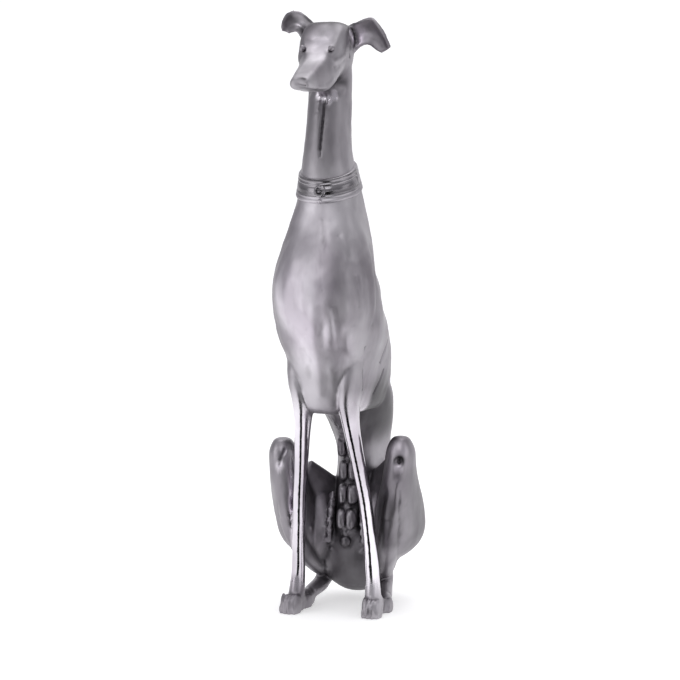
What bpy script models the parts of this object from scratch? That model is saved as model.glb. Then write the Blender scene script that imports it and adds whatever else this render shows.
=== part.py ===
"""Seated greyhound, one hollow casting in polished aluminium, with a cast-in collar.

The dog faces -Y and stands on Z = 0. All proportions are shares of its height:
U is one seventieth of it, which is 1 cm on the 70 cm figure.
"""
import math

import bmesh
import bpy
import numpy as np
from mathutils import Matrix, Vector

# Driving dimensions, in metres
HEIGHT = 0.700
WIDTH = 0.180
DEPTH = 0.250

# Working resolution of the modelled skin
U = HEIGHT / 70.0
VOXEL = 0.30 * U
RING_POINTS = 40
LOFT_STEPS = 6
SKIN_SMOOTHING = 6
SKIN_TRIANGLES = 6000

# Keeps a narrowed section about as wide as an even one
EVENING = 0.3

# Neck and rib cage: height, front, back, half width, fullness (below 1 squares the section)
TRUNK = (
    (67.2, -3.9, -0.9, 2.15, 0.95), (65.5, -4.5, -0.6, 2.45, 0.95), (63.0, -5.0, -0.4, 2.55, 0.95),
    (60.5, -5.7, 0.1, 2.50, 0.95), (57.5, -6.4, 0.0, 2.53, 0.95),
    (54.5, -6.9, -0.1, 2.76, 0.95), (52.0, -6.8, 0.6, 3.25, 0.95), (49.0, -6.8, 1.4, 3.88, 0.92),
    (46.0, -7.6, 1.8, 4.60, 0.90), (43.0, -9.2, 1.8, 5.35, 0.88), (40.0, -10.3, 1.7, 5.98, 0.86),
    (37.0, -10.2, 2.9, 6.30, 0.84), (34.0, -9.0, 5.2, 6.30, 0.80), (31.0, -7.6, 7.6, 5.80, 0.74),
    (28.0, -6.7, 9.0, 5.20, 0.68), (26.2, -6.2, 9.7, 4.70, 0.66), (25.0, -5.6, 10.0, 4.30, 0.66),
    (24.2, -4.6, 10.2, 3.70, 0.70),
)
# Waist, loin and rump: the belly is the narrow front of each section
LOIN = (
    (29.0, -4.0, 6.6, 4.40), (26.0, -2.2, 9.2, 4.80), (23.5, -0.6, 10.3, 4.50),
    (21.5, 1.2, 11.0, 3.95), (19.0, 2.5, 11.6, 3.40), (16.0, 2.9, 12.1, 3.50),
    (13.0, 2.5, 12.5, 4.10), (9.5, 2.0, 12.5, 4.60), (6.0, 2.6, 12.0, 4.45),
    (3.8, 3.4, 11.4, 3.90), (2.3, 4.2, 10.4, 3.20), (1.6, 5.4, 9.2, 2.20),
)
# Skull and muzzle: Y, top, bottom, half width, how much wider it is above than below
HEAD = (
    (-0.2, 67.4, 64.2, 1.50, 0.14), (-1.2, 68.9, 62.8, 2.50, 0.16), (-2.8, 69.5, 62.6, 2.95, 0.16),
    (-4.6, 69.4, 62.8, 3.00, 0.14), (-6.0, 68.1, 62.3, 2.70, 0.04), (-7.1, 66.4, 61.7, 2.26, -0.06),
    (-8.4, 65.3, 61.6, 2.04, -0.12), (-9.9, 64.5, 61.75, 1.76, -0.12), (-11.3, 63.8, 61.85, 1.46, -0.10),
    (-12.1, 63.35, 61.95, 1.28, -0.08), (-12.5, 63.0, 62.15, 1.00, 0.0),
)
HEAD_FULLNESS = 0.48
# Foreleg of the left side: X, Y, Z, half width, half depth
FORELEG = (
    (3.40, -3.0, 34.0, 1.00, 1.60), (3.45, -3.5, 31.0, 1.40, 2.30), (3.15, -4.0, 28.0, 1.45, 2.45),
    (2.86, -4.1, 25.6, 1.26, 2.02),
    (3.05, -3.8, 22.8, 0.94, 1.45), (3.58, -2.9, 18.0, 0.81, 1.12), (4.09, -2.1, 13.7, 0.78, 1.02),
    (4.40, -1.5, 9.0, 0.76, 0.98), (4.58, -1.2, 5.0, 0.80, 1.00), (4.66, -1.3, 2.8, 0.92, 1.15),
    (4.76, -1.5, 1.2, 1.00, 1.50),
)
# The left forefoot stands a little behind the right one, from the elbow down
STANCE_SKEW = 0.55
STANCE_TOP = 25.0
# The hips turn a little to the dog's left, and its left knee is drawn up higher
HIP_TURN = 6.0
HIP_AXIS_Y = 2.0
KNEE_RISE = 0.018
# Haunch of the left side: height, centre X, centre Y, half width, half depth of its sections
HAUNCH = (
    (20.9, 7.30, 0.3, 0.50, 0.60), (20.55, 7.30, 0.4, 1.10, 1.30), (19.2, 7.25, 0.6, 1.70, 2.10),
    (17.0, 7.05, 1.2, 1.90, 2.90), (15.0, 6.80, 2.1, 2.20, 3.80), (13.0, 6.50, 3.5, 2.55, 4.70),
    (11.0, 6.20, 4.8, 2.80, 5.40), (9.0, 5.95, 5.7, 2.90, 5.50), (7.4, 5.50, 6.2, 2.70, 5.00),
    (6.2, 4.85, 6.6, 2.20, 4.10), (5.3, 4.25, 6.8, 1.40, 2.80),
)
HAUNCH_TURN = 2.0
HAUNCH_FULLNESS = 0.84
# Shin from the knee to the hock, and the foot forward to the paw: X, Y, Z, two radii
SHIN = (
    (7.20, 0.5, 19.0, 0.85, 0.90), (7.05, -0.1, 16.5, 1.10, 1.30), (6.60, -0.4, 13.5, 1.10, 1.30),
    (6.15, -0.1, 10.5, 1.10, 1.30), (5.40, 1.8, 7.4, 1.20, 1.35), (4.45, 4.4, 5.2, 1.20, 1.40),
    (3.75, 6.6, 3.9, 1.15, 1.35),
)
FOOT = (
    (3.65, 7.4, 4.2, 0.95, 1.05), (3.75, 7.0, 3.0, 1.05, 1.15), (4.05, 5.6, 2.0, 1.00, 0.95),
    (4.70, 3.2, 1.3, 0.90, 0.85),
)
GROIN = ((4.2, 5.4, 9.6), (2.9, 3.4, 5.2))
# Sheet of skin that hangs between the knee and the belly: X, Y, Z, half thickness, half height
WEB = (
    (6.6, 2.3, 14.6, 1.1, 4.0), (5.0, 3.7, 12.9, 1.2, 4.2),
    (3.5, 4.9, 11.5, 1.4, 4.2), (1.8, 5.8, 10.4, 1.6, 4.0),
)
RUMP = ((2.2, 8.9, 7.2), (2.9, 3.6, 5.9))
LAP = ((0.0, 6.3, 6.6), (5.0, 4.0, 5.4))
SHOULDER = ((3.3, -3.4, 36.5), (2.8, 5.0, 6.8))

# Paws: middle of the sole, length, width, height, outward turn in degrees
FORE_PAW = ((4.90, -1.6), 4.6, 2.35, 2.50, 5.0)
HIND_PAW = ((4.95, 1.8), 4.4, 2.15, 1.90, 7.0)
TOES = 4
TOE_SPLAY = 26.0
# Parts of a paw, in shares of its size: place forward, height, half width, half length, half height
PAW_HEEL = (-0.12, 0.42, 0.44, 0.36, 0.64)
PAW_PAD = (0.08, 0.34, 0.44, 0.30, 0.52)
PAW_TOE = (0.30, 0.36, 0.135, 0.22, 0.58)
PAW_CLAW = (0.46, 0.20, 0.065, 0.065, 0.26)
TOE_ROW = 0.76
CLAW_ROW = 0.82
TOE_ARCH = 0.22

# Ears: rims from root to tip, as X, Y, Z
EAR_THICKNESS = 0.42
EAR_SPAN = 12
EAR_TIP_FLATNESS = 0.65
LEFT_EAR_TOP = (
    (1.2, -1.6, 68.9), (2.9, -1.9, 69.5), (4.4, -2.2, 70.0),
    (5.25, -2.3, 69.85), (6.5, -2.4, 68.3), (7.4, -2.6, 66.6),
)
LEFT_EAR_LOW = (
    (2.3, -2.6, 65.4), (3.1, -2.4, 66.4), (3.9, -2.2, 66.9),
    (4.7, -2.2, 66.9), (5.5, -2.4, 66.4), (6.2, -2.5, 66.0),
)
LEFT_EAR_CUP = 0.95
RIGHT_EAR_TOP = (
    (-1.9, -1.6, 68.8), (-2.9, -2.0, 69.9), (-4.1, -2.3, 70.75),
    (-5.4, -2.5, 70.65), (-6.15, -2.6, 69.5), (-6.15, -2.6, 68.5),
)
RIGHT_EAR_LOW = (
    (-2.5, -2.6, 65.9), (-3.4, -2.5, 67.0), (-3.9, -2.3, 67.9),
    (-4.3, -2.3, 68.5), (-4.8, -2.4, 68.5), (-5.4, -2.5, 68.35),
)
RIGHT_EAR_CUP = 0.80

# Eyes, a little out of their sockets
EYE = (1.78, -6.95, 66.55)
EYE_RADIUS = 0.36
EYE_SEGMENTS = 15

# Collar: heights in front and behind, width of the band, how far it stands out
COLLAR_FRONT_Z = 50.3
COLLAR_BACK_Z = 52.6
COLLAR_BAND = 2.7
COLLAR_PROUD = 0.28
COLLAR_SEGMENTS = 56
# The band's section: place across it, and share of its full height there
COLLAR_PROFILE = (
    (-0.02, -0.5), (0.0, 0.7), (0.05, 1.0), (0.13, 1.0), (0.17, 0.35), (0.21, 1.0), (0.27, 0.95), (0.31, 0.3),
    (0.35, 0.9), (0.65, 0.9), (0.69, 0.3), (0.73, 0.95), (0.79, 1.0), (0.83, 0.35), (0.87, 1.0), (0.95, 1.0),
    (1.0, 0.7), (1.02, -0.5),
)

# Buckle on the collar's front: a ring round a stud, and a small stud under it
BUCKLE_X = 0.35
BUCKLE_RING = 0.55
BUCKLE_WIRE = 0.20
BUCKLE_STUD = 0.24
BUCKLE_HEIGHT = 0.30
BUCKLE_LEAN = 0.14
BUCKLE_SEGMENTS = 24
WIRE_SEGMENTS = 8
LOW_STUD_DROP = 0.42

# Tail, lying close down the middle of the rump: Y, Z, radius
TAIL = ((11.2, 12.0, 0.9), (12.1, 9.0, 0.85), (12.0, 6.0, 0.7), (11.2, 3.6, 0.55), (9.9, 2.2, 0.42))

# The throat's groove, a little to the dog's left, and the belly's relief
THROAT_X = 0.35
THROAT = ((-5.9, 60.6), (-6.9, 54.2))
THROAT_GROOVE = (0.42, 0.50)
# Mouth, eye socket, shoulder and flank creases of the left side: path, radius, depth
CREASES = (
    (((1.10, -12.0, 62.1), (1.50, -9.8, 62.25), (1.75, -8.2, 62.6)), 0.24, 0.22),
    (((EYE[0], EYE[1] - 0.3, EYE[2]),), 0.60, 0.20),
    (((6.2, -2.6, 41.0), (6.9, -1.8, 34.0), (6.2, -2.2, 28.0)), 0.90, 0.45),
    (((5.6, 5.0, 33.0), (6.0, 4.0, 30.0), (6.0, 2.6, 27.0)), 0.50, 0.25),
)
BELLY_LUMPS = 4
BELLY_TOP_Z = 19.4
BELLY_STEP = 2.9
BELLY_LUMP = (0.48, 0.50, 1.12)
BELLY_HALF = 0.54
BELLY_KNOB = (7.9, 0.65, 0.50, 0.70)
STRIP_BEADS = 6
STRIP_TOP_Z = 13.2
STRIP_STEP = 1.0
STRIP_HALF = 1.95
STRIP_WIDENING = 0.06
STRIP_BACK = 0.55
STRIP_BEAD = (0.42, 0.42, 0.62)


def through(table, steps=LOFT_STEPS):
    """Rows of a smooth curve that passes through every row of the table."""
    rows = np.array(table, float)
    padded = np.vstack([2 * rows[0] - rows[1], rows, 2 * rows[-1] - rows[-2]])
    out = []
    for i in range(len(rows) - 1):
        a, b, c, d = padded[i:i + 4]
        for k in range(steps):
            t = k / steps
            square, cube = 2 * a - 5 * b + 4 * c - d, 3 * b - a - 3 * c + d
            out.append(b + (c - a) * t / 2 + square * t ** 2 / 2 + cube * t ** 3 / 2)
    out.append(rows[-1])
    return np.array(out)


def new_object(name, mesh_data):
    obj = bpy.data.objects.new(name, mesh_data)
    bpy.context.scene.collection.objects.link(obj)
    return obj


def loft(name, rings):
    """Closed body through rings that have the same number of points."""
    bm = bmesh.new()
    loops = [[bm.verts.new(Vector(p) * U) for p in ring] for ring in rings]
    for low, high in zip(loops, loops[1:]):
        for i in range(len(low)):
            j = (i + 1) % len(low)
            bm.faces.new((low[i], low[j], high[j], high[i]))
    bm.faces.new(loops[0][::-1])
    bm.faces.new(loops[-1])
    bmesh.ops.recalc_face_normals(bm, faces=bm.faces)
    data = bpy.data.meshes.new(name)
    bm.to_mesh(data)
    bm.free()
    return new_object(name, data)


def closed_loft(name, rings):
    """Body through rings that run round in a loop."""
    bm = bmesh.new()
    loops = [[bm.verts.new(Vector(p) * U) for p in ring] for ring in rings]
    for low, high in zip(loops, loops[1:] + loops[:1]):
        for i in range(len(low)):
            j = (i + 1) % len(low)
            bm.faces.new((low[i], low[j], high[j], high[i]))
    bmesh.ops.recalc_face_normals(bm, faces=bm.faces)
    data = bpy.data.meshes.new(name)
    bm.to_mesh(data)
    bm.free()
    return new_object(name, data)


def oval(half_x, half_y, narrowing=0.0, fullness=1.0, count=RING_POINTS):
    """Outline of a section; narrowing thins its front, fullness below 1 squares it."""
    points = []
    half_x /= 1 + EVENING * abs(narrowing)
    for k in range(count):
        a = 2 * math.pi * k / count
        c, s = math.cos(a), math.sin(a)
        x = half_x * math.copysign(abs(c) ** fullness, c) * (1 + narrowing * s)
        points.append((x, half_y * s))
    return points


def upright_loft(name, table, narrowing=0.0):
    """Body of level sections: height, front, back, half width, and a fullness where a row gives one."""
    rings = []
    for row in through(table):
        z, front, back, half = row[:4]
        fullness = row[4] if len(row) > 4 else 1.0
        middle = (front + back) / 2
        section = oval(half, (back - front) / 2, narrowing, fullness)
        rings.append([(x, middle + y, z) for x, y in section])
    return loft(name, rings)


def head_loft(name, table):
    """Skull and muzzle of upright, squarish sections."""
    rings = []
    for y, top, bottom, half, widening in through(table):
        middle = (top + bottom) / 2
        section = oval(half, (top - bottom) / 2, widening, HEAD_FULLNESS)
        rings.append([(x, y, middle + z) for x, z in section])
    return loft(name, rings)


def haunch(name, side):
    """Thigh and knee of level sections whose long axis turns outward at the front."""
    turn = math.radians(HAUNCH_TURN) * side
    c, s = math.cos(turn), math.sin(turn)
    rings = []
    for z, x, y, half_x, half_y in through(HAUNCH):
        section = oval(half_x, half_y, fullness=HAUNCH_FULLNESS, count=32)
        rings.append([(side * x + c * px - s * py, y + s * px + c * py, z) for px, py in section])
    return loft(name, rings)


def stance(side, z):
    """How far behind its even place a point of a foreleg stands."""
    return side * STANCE_SKEW * max(0.0, 1.0 - z / STANCE_TOP)


def limb(name, table, side):
    """Tapering limb with level oval sections along its path."""
    rings = []
    for x, y, z, half_x, half_y in through(table):
        y += stance(side, z)
        rings.append([(side * x + px, y + py, z) for px, py in oval(half_x, half_y, count=24)])
    return loft(name, rings)


def rod(name, path, side=1.0, count=20):
    """Round rod along a path of X, Y, Z, two radii; sections square to the path."""
    rows = through(path)
    rings = []
    for i, row in enumerate(rows):
        ahead = Vector(rows[min(i + 1, len(rows) - 1)][:3]) - Vector(rows[max(i - 1, 0)][:3])
        ahead.normalize()
        across = ahead.cross(Vector((0, 0, 1)))
        if across.length < 0.2:
            across = Vector((1, 0, 0))
        across.normalize()
        over = across.cross(ahead)
        ring = []
        for k in range(count):
            a = 2 * math.pi * k / count
            p = Vector(row[:3]) + across * math.cos(a) * row[3] + over * math.sin(a) * row[4]
            ring.append((side * p.x, p.y, p.z))
        rings.append(ring)
    return loft(name, rings)


def ball(name, centre, radii, turn=0.0, segments=28):
    """Ellipsoid, turned about the vertical by an angle in degrees."""
    bm = bmesh.new()
    size = Matrix.Diagonal((*[r * U for r in radii], 1.0))
    place = Matrix.Translation(Vector(centre) * U) @ Matrix.Rotation(math.radians(turn), 4, "Z")
    rows = segments // 3 * 2
    bmesh.ops.create_uvsphere(bm, u_segments=segments, v_segments=rows, radius=1.0, matrix=place @ size)
    data = bpy.data.meshes.new(name)
    bm.to_mesh(data)
    bm.free()
    return new_object(name, data)


def paw(name, spec, side, set_back=0.0):
    """Heel, pad, toes side by side with a gap between them, and blunt claws."""
    (x, y), length, width, height, turn = spec
    forward = Matrix.Rotation(math.radians(turn * side), 3, "Z")

    def lump(part, across=0.0, splay=0.0, back=0.0):
        ahead, up, half_width, half_length, half_height = part
        d = forward @ Vector((across * width, (back - ahead) * length, 0))
        place = (side * x + d.x, y + set_back + d.y, up * height)
        radii = (half_width * width, half_length * length, half_height * height)
        return ball(name, place, radii, turn * side - splay)

    pieces = [lump(PAW_HEEL), lump(PAW_PAD)]
    for k in range(TOES):
        across = (k - (TOES - 1) / 2) / (TOES - 1)
        back = TOE_ARCH * across * across
        pieces.append(lump(PAW_TOE, across * TOE_ROW, TOE_SPLAY * across, back))
        pieces.append(lump(PAW_CLAW, across * CLAW_ROW, 0.0, back))
    return pieces


def ear(name, top, low, cup):
    """Thin cupped leaf between its two rims, hollow towards the front."""
    upper, lower = through(top), through(low)
    bm = bmesh.new()
    grid = []
    for i, (a, b) in enumerate(zip(upper, lower)):
        s = i / (len(upper) - 1)
        depth = cup * (1 - EAR_TIP_FLATNESS * s)
        row = []
        for k in range(EAR_SPAN + 1):
            t = k / EAR_SPAN
            p = Vector(a).lerp(Vector(b), t)
            p.y += depth * 4 * t * (1 - t)
            row.append(bm.verts.new(p * U))
        grid.append(row)
    for r0, r1 in zip(grid, grid[1:]):
        for k in range(EAR_SPAN):
            bm.faces.new((r0[k], r0[k + 1], r1[k + 1], r1[k]))
    bmesh.ops.recalc_face_normals(bm, faces=bm.faces)
    data = bpy.data.meshes.new(name)
    bm.to_mesh(data)
    bm.free()
    obj = new_object(name, data)
    wall = obj.modifiers.new("wall", "SOLIDIFY")
    wall.thickness = EAR_THICKNESS * U
    wall.offset = 0.0
    wall.use_even_offset = False
    return obj


def evaluated_copy(name, obj):
    """Plain mesh object with the modifiers of obj applied; obj is removed."""
    graph = bpy.context.evaluated_depsgraph_get()
    data = bpy.data.meshes.new_from_object(obj.evaluated_get(graph))
    data.name = name
    place = obj.matrix_world.copy()
    bpy.data.objects.remove(obj)
    result = new_object(name, data)
    result.matrix_world = place
    return result


def merged(name, pieces):
    """All pieces in one mesh, still as separate shells."""
    bm = bmesh.new()
    graph = bpy.context.evaluated_depsgraph_get()
    for piece in pieces:
        data = bpy.data.meshes.new_from_object(piece.evaluated_get(graph))
        data.transform(piece.matrix_world)
        bm.from_mesh(data)
        bpy.data.meshes.remove(data)
    data = bpy.data.meshes.new(name)
    bm.to_mesh(data)
    bm.free()
    for piece in pieces:
        bpy.data.objects.remove(piece)
    return new_object(name, data)


def skinned(name, pieces, voxel, smoothing):
    """One skin over all the pieces, with soft joins."""
    obj = merged(name, pieces)
    skin = obj.modifiers.new("skin", "REMESH")
    skin.mode = "VOXEL"
    skin.voxel_size = voxel
    soft = obj.modifiers.new("soft", "SMOOTH")
    soft.factor = 0.5
    soft.iterations = smoothing
    return evaluated_copy(name, obj)


def coordinates(obj):
    flat = np.empty(len(obj.data.vertices) * 3)
    obj.data.vertices.foreach_get("co", flat)
    return flat.reshape(-1, 3) / U


def set_coordinates(obj, points):
    obj.data.vertices.foreach_set("co", (points * U).ravel())
    obj.data.update()


def normals(obj):
    flat = np.empty(len(obj.data.vertices) * 3)
    obj.data.vertices.foreach_get("normal", flat)
    return flat.reshape(-1, 3)


def stroke(points, outward, path, radius, depth):
    """Push the skin in (or out, below zero) along a path of points."""
    path = np.array(path, float)
    nearest = np.linalg.norm(points - path[0], axis=1)
    for a, b in zip(path, path[1:]):
        along = b - a
        t = np.clip(((points - a) @ along) / (along @ along), 0, 1)
        nearest = np.minimum(nearest, np.linalg.norm(points - (a + t[:, None] * along), axis=1))
    weight = np.exp(-(nearest / radius) ** 2)
    return -outward * (depth * weight)[:, None]


def carve(obj):
    """Throat groove, mouth, eye sockets, shoulder and flank creases."""
    points, outward = coordinates(obj), normals(obj)
    groove = [(THROAT_X, y, z) for y, z in THROAT]
    move = stroke(points, outward, groove, *THROAT_GROOVE)
    for side in (-1, 1):
        for path, radius, depth in CREASES:
            move += stroke(points, outward, [(side * x, y, z) for x, y, z in path], radius, depth)
    set_coordinates(obj, points + move)


def neck_at(z):
    """Front, back and half width of the neck at a height."""
    rows = through(TRUNK, 24)[::-1]
    return [float(np.interp(z, rows[:, 0], rows[:, k])) for k in (1, 2, 3)]


def collar_ring(share, proud):
    """One closed line round the neck, at a share of the band's width."""
    ring = []
    for k in range(COLLAR_SEGMENTS):
        a = 2 * math.pi * k / COLLAR_SEGMENTS
        c, s = math.cos(a), math.sin(a)
        z = (COLLAR_FRONT_Z + COLLAR_BACK_Z) / 2 + s * (COLLAR_BACK_Z - COLLAR_FRONT_Z) / 2
        z += (share - 0.5) * COLLAR_BAND
        front, back, half = neck_at(z)
        ring.append(((half + proud) * c, (front + back) / 2 + ((back - front) / 2 + proud) * s, z))
    return ring


def collar(name):
    """Band with two lines at each border, standing out from the neck."""
    return loft(name, [collar_ring(share, COLLAR_PROUD * proud) for share, proud in COLLAR_PROFILE])


def buckle():
    """Ring with a stud in it on the collar's front, and one stud below."""
    z = COLLAR_FRONT_Z
    face = neck_at(z)[0] - COLLAR_PROUD
    rings = []
    for k in range(BUCKLE_SEGMENTS):
        a = 2 * math.pi * k / BUCKLE_SEGMENTS
        across, up = BUCKLE_RING * math.cos(a), BUCKLE_RING * math.sin(a)
        ring = []
        for j in range(WIRE_SEGMENTS):
            b = 2 * math.pi * j / WIRE_SEGMENTS
            grow = 1 + BUCKLE_WIRE / BUCKLE_RING * math.cos(b)
            y = face - BUCKLE_WIRE * math.sin(b) + up * grow * BUCKLE_LEAN
            ring.append((BUCKLE_X + across * grow, y, z + up * grow))
        rings.append(ring)
    radii = (BUCKLE_STUD, BUCKLE_HEIGHT, BUCKLE_STUD)
    low = z - LOW_STUD_DROP * COLLAR_BAND
    return [
        closed_loft("buckle", rings),
        ball("stud", (BUCKLE_X, face, z), radii, segments=12),
        ball("stud", (BUCKLE_X, face, low), radii, segments=12),
    ]


def add_union(obj, other):
    """Union of two closed meshes, exactly."""
    join = obj.modifiers.new("union", "BOOLEAN")
    join.operation = "UNION"
    join.object = other
    join.solver = "EXACT"
    result = evaluated_copy(obj.name, obj)
    bpy.data.objects.remove(other)
    return result


def decimated(obj, triangles):
    faces = len(obj.data.polygons) * 2
    less = obj.modifiers.new("less", "DECIMATE")
    less.ratio = min(1.0, triangles / faces)
    return evaluated_copy(obj.name, obj)


def flat_soles(obj):
    """Everything under the ground plane is cut away, which leaves flat soles."""
    bm = bmesh.new()
    bm.from_mesh(obj.data)
    whole = bm.verts[:] + bm.edges[:] + bm.faces[:]
    cut = bmesh.ops.bisect_plane(bm, geom=whole, dist=1e-6, plane_co=(0, 0, 0), plane_no=(0, 0, -1),
                                 clear_outer=True)
    edges = [e for e in cut["geom_cut"] if isinstance(e, bmesh.types.BMEdge)]
    bmesh.ops.holes_fill(bm, edges=edges, sides=0)
    bmesh.ops.triangulate(bm, faces=bm.faces[:])
    bmesh.ops.recalc_face_normals(bm, faces=bm.faces)
    bm.to_mesh(obj.data)
    bm.free()


def fit(obj):
    """Scale to the stated width, depth and height, centred on the ground."""
    points = coordinates(obj) * U
    low, high = points.min(0), points.max(0)
    size = np.array((WIDTH, DEPTH, HEIGHT))
    middle = np.array(((low[0] + high[0]) / 2, (low[1] + high[1]) / 2, low[2]))
    points = (points - middle) * size / (high - low)
    set_coordinates(obj, points / U)


def aluminium():
    material = bpy.data.materials.new("polished_aluminium")
    material.use_nodes = True
    shader = material.node_tree.nodes["Principled BSDF"]
    shader.inputs["Base Color"].default_value = (0.56, 0.54, 0.56, 1.0)
    shader.inputs["Metallic"].default_value = 1.0
    shader.inputs["Roughness"].default_value = 0.25
    return material


def hind_leg(side):
    """Thigh, shin, foot and paw of one side, placed as the hips are turned."""
    pieces = [haunch("haunch", side)]
    for name, path in (("shin", SHIN), ("web", WEB), ("foot", FOOT)):
        pieces.append(rod(name, path, side))
    for centre, radii in (GROIN, RUMP):
        pieces.append(ball("muscle", (side * centre[0], *centre[1:]), radii))
    pieces += paw("hind_paw", HIND_PAW, side)
    axis = Matrix.Translation((0.0, HIP_AXIS_Y * U, 0.0))
    turn = axis @ Matrix.Rotation(math.radians(HIP_TURN), 4, "Z") @ axis.inverted()
    rise = Matrix.Diagonal((1.0, 1.0, 1.0 + side * KNEE_RISE, 1.0))
    for piece in pieces:
        piece.matrix_world = turn @ rise
    return pieces


def belly_front(z):
    """Y of the belly's ridge at a height."""
    rows = through(LOIN)[::-1]
    return float(np.interp(z, rows[:, 0], rows[:, 1]))


def belly_relief():
    """Paired lumps down the belly's ridge, a knob under them, and a beaded strip on either side."""
    knob_z, *knob_radii = BELLY_KNOB
    pieces = [ball("knob", (0.0, belly_front(knob_z), knob_z), knob_radii)]
    for side in (-1, 1):
        for k in range(BELLY_LUMPS):
            z = BELLY_TOP_Z - k * BELLY_STEP
            pieces.append(ball("lump", (side * BELLY_HALF, belly_front(z), z), BELLY_LUMP))
        for k in range(STRIP_BEADS):
            z = STRIP_TOP_Z - k * STRIP_STEP
            place = (side * (STRIP_HALF + STRIP_WIDENING * k), belly_front(z) + STRIP_BACK, z)
            pieces.append(ball("bead", place, STRIP_BEAD))
    return pieces


def body_pieces():
    pieces = [
        upright_loft("trunk", TRUNK),
        upright_loft("loin", LOIN, narrowing=0.45),
        head_loft("head", HEAD),
        ear("left_ear", LEFT_EAR_TOP, LEFT_EAR_LOW, LEFT_EAR_CUP),
        ear("right_ear", RIGHT_EAR_TOP, RIGHT_EAR_LOW, RIGHT_EAR_CUP),
        rod("tail", [(0.0, y, z, r, r) for y, z, r in TAIL]),
        ball("lap", *LAP),
    ]
    pieces += belly_relief()
    for side in (-1, 1):
        pieces.append(limb("foreleg", FORELEG, side))
        pieces.append(ball("shoulder", (side * SHOULDER[0][0], *SHOULDER[0][1:]), SHOULDER[1]))
        pieces += paw("fore_paw", FORE_PAW, side, stance(side, 0.0))
        pieces += hind_leg(side)
    return pieces


def greyhound():
    obj = skinned("greyhound", body_pieces(), VOXEL, SKIN_SMOOTHING)
    carve(obj)
    obj = decimated(obj, SKIN_TRIANGLES)
    obj = add_union(obj, collar("collar"))
    for piece in buckle():
        obj = add_union(obj, piece)
    for side in (-1, 1):
        eye = ball("eye", (side * EYE[0], EYE[1], EYE[2]), (EYE_RADIUS,) * 3, segments=EYE_SEGMENTS)
        obj = add_union(obj, eye)
    flat_soles(obj)
    fit(obj)
    obj.data.materials.clear()
    obj.data.materials.append(aluminium())
    obj.data.shade_smooth()
    obj.data.set_sharp_from_angle(angle=math.radians(40))
    return obj


def main():
    for old in list(bpy.data.objects):
        bpy.data.objects.remove(old)
    collection = bpy.data.collections.new("greyhound_sculpture")
    bpy.context.scene.collection.children.link(collection)
    obj = greyhound()
    bpy.context.scene.collection.objects.unlink(obj)
    collection.objects.link(obj)


main()
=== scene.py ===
"""Seated greyhound in polished cast aluminium: the fine surface, its metal, the studio and the camera.

The dog faces -Y and stands on Z = 0. U is one seventieth of its height, 1 cm on the 70 cm figure.
"""
import math

import bmesh
import bpy
import numpy as np
from mathutils import Matrix, Vector, noise
from mathutils.bvhtree import BVHTree


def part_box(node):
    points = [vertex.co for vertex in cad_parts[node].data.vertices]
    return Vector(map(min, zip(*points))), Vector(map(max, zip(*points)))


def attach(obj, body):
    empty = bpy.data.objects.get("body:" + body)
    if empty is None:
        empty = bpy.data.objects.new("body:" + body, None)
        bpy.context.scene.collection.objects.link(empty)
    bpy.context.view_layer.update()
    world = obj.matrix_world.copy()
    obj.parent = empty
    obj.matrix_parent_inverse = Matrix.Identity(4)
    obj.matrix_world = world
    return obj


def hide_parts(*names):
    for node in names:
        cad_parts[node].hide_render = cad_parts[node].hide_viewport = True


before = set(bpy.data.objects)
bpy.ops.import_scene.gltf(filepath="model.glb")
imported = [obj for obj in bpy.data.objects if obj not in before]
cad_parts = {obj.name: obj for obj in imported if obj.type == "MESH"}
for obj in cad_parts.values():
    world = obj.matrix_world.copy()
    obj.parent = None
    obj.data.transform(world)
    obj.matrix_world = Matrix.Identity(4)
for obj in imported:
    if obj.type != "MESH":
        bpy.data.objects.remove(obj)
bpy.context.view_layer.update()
NODE_LOW, NODE_HIGH = (np.array(corner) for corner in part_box("greyhound"))

# One seventieth of the dog's height, in metres
U = (NODE_HIGH - NODE_LOW)[2] / 70.0

# Resolution of the fine skin
VOXEL = 0.15 * U
SKIN_SMOOTHING = 9
SKIN_TRIANGLES = 185000
RING_POINTS = 72
LOFT_STEPS = 12

# Keeps a narrowed section about as wide as an even one
EVENING = 0.3

# Neck and rib cage: height, front, back, half width, fullness (below 1 squares the section)
TRUNK = (
    (67.2, -3.9, -0.9, 2.15, 0.95), (65.5, -4.5, -0.6, 2.45, 0.95), (63.0, -5.0, -0.4, 2.55, 0.95),
    (60.5, -5.7, 0.1, 2.50, 0.95), (57.5, -6.4, 0.0, 2.53, 0.95),
    (54.5, -6.9, -0.1, 2.76, 0.95), (52.0, -6.8, 0.6, 3.25, 0.95), (49.0, -6.8, 1.4, 3.88, 0.92),
    (46.0, -7.6, 1.8, 4.60, 0.90), (43.0, -9.2, 1.8, 5.35, 0.88), (40.0, -10.3, 1.7, 5.98, 0.86),
    (37.0, -10.2, 2.9, 6.30, 0.84), (34.0, -9.0, 5.2, 6.30, 0.80), (31.0, -7.6, 7.6, 5.80, 0.74),
    (28.0, -6.7, 9.0, 5.20, 0.68), (26.2, -6.2, 9.7, 4.70, 0.66), (25.0, -5.6, 10.0, 4.30, 0.66),
    (24.2, -4.6, 10.2, 3.70, 0.70),
)
# Waist, loin and rump: the belly is the narrow front of each section
LOIN = (
    (29.0, -4.0, 6.6, 4.40), (26.0, -2.2, 9.2, 4.80), (23.5, -0.6, 10.3, 4.50),
    (21.5, 1.2, 11.0, 3.95), (19.0, 2.5, 11.6, 3.40), (16.0, 2.9, 12.1, 3.50),
    (13.0, 2.5, 12.5, 4.10), (9.5, 2.0, 12.5, 4.60), (6.0, 2.6, 12.0, 4.45),
    (3.8, 3.4, 11.4, 3.90), (2.3, 4.2, 10.4, 3.20), (1.6, 5.4, 9.2, 2.20),
)
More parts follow.
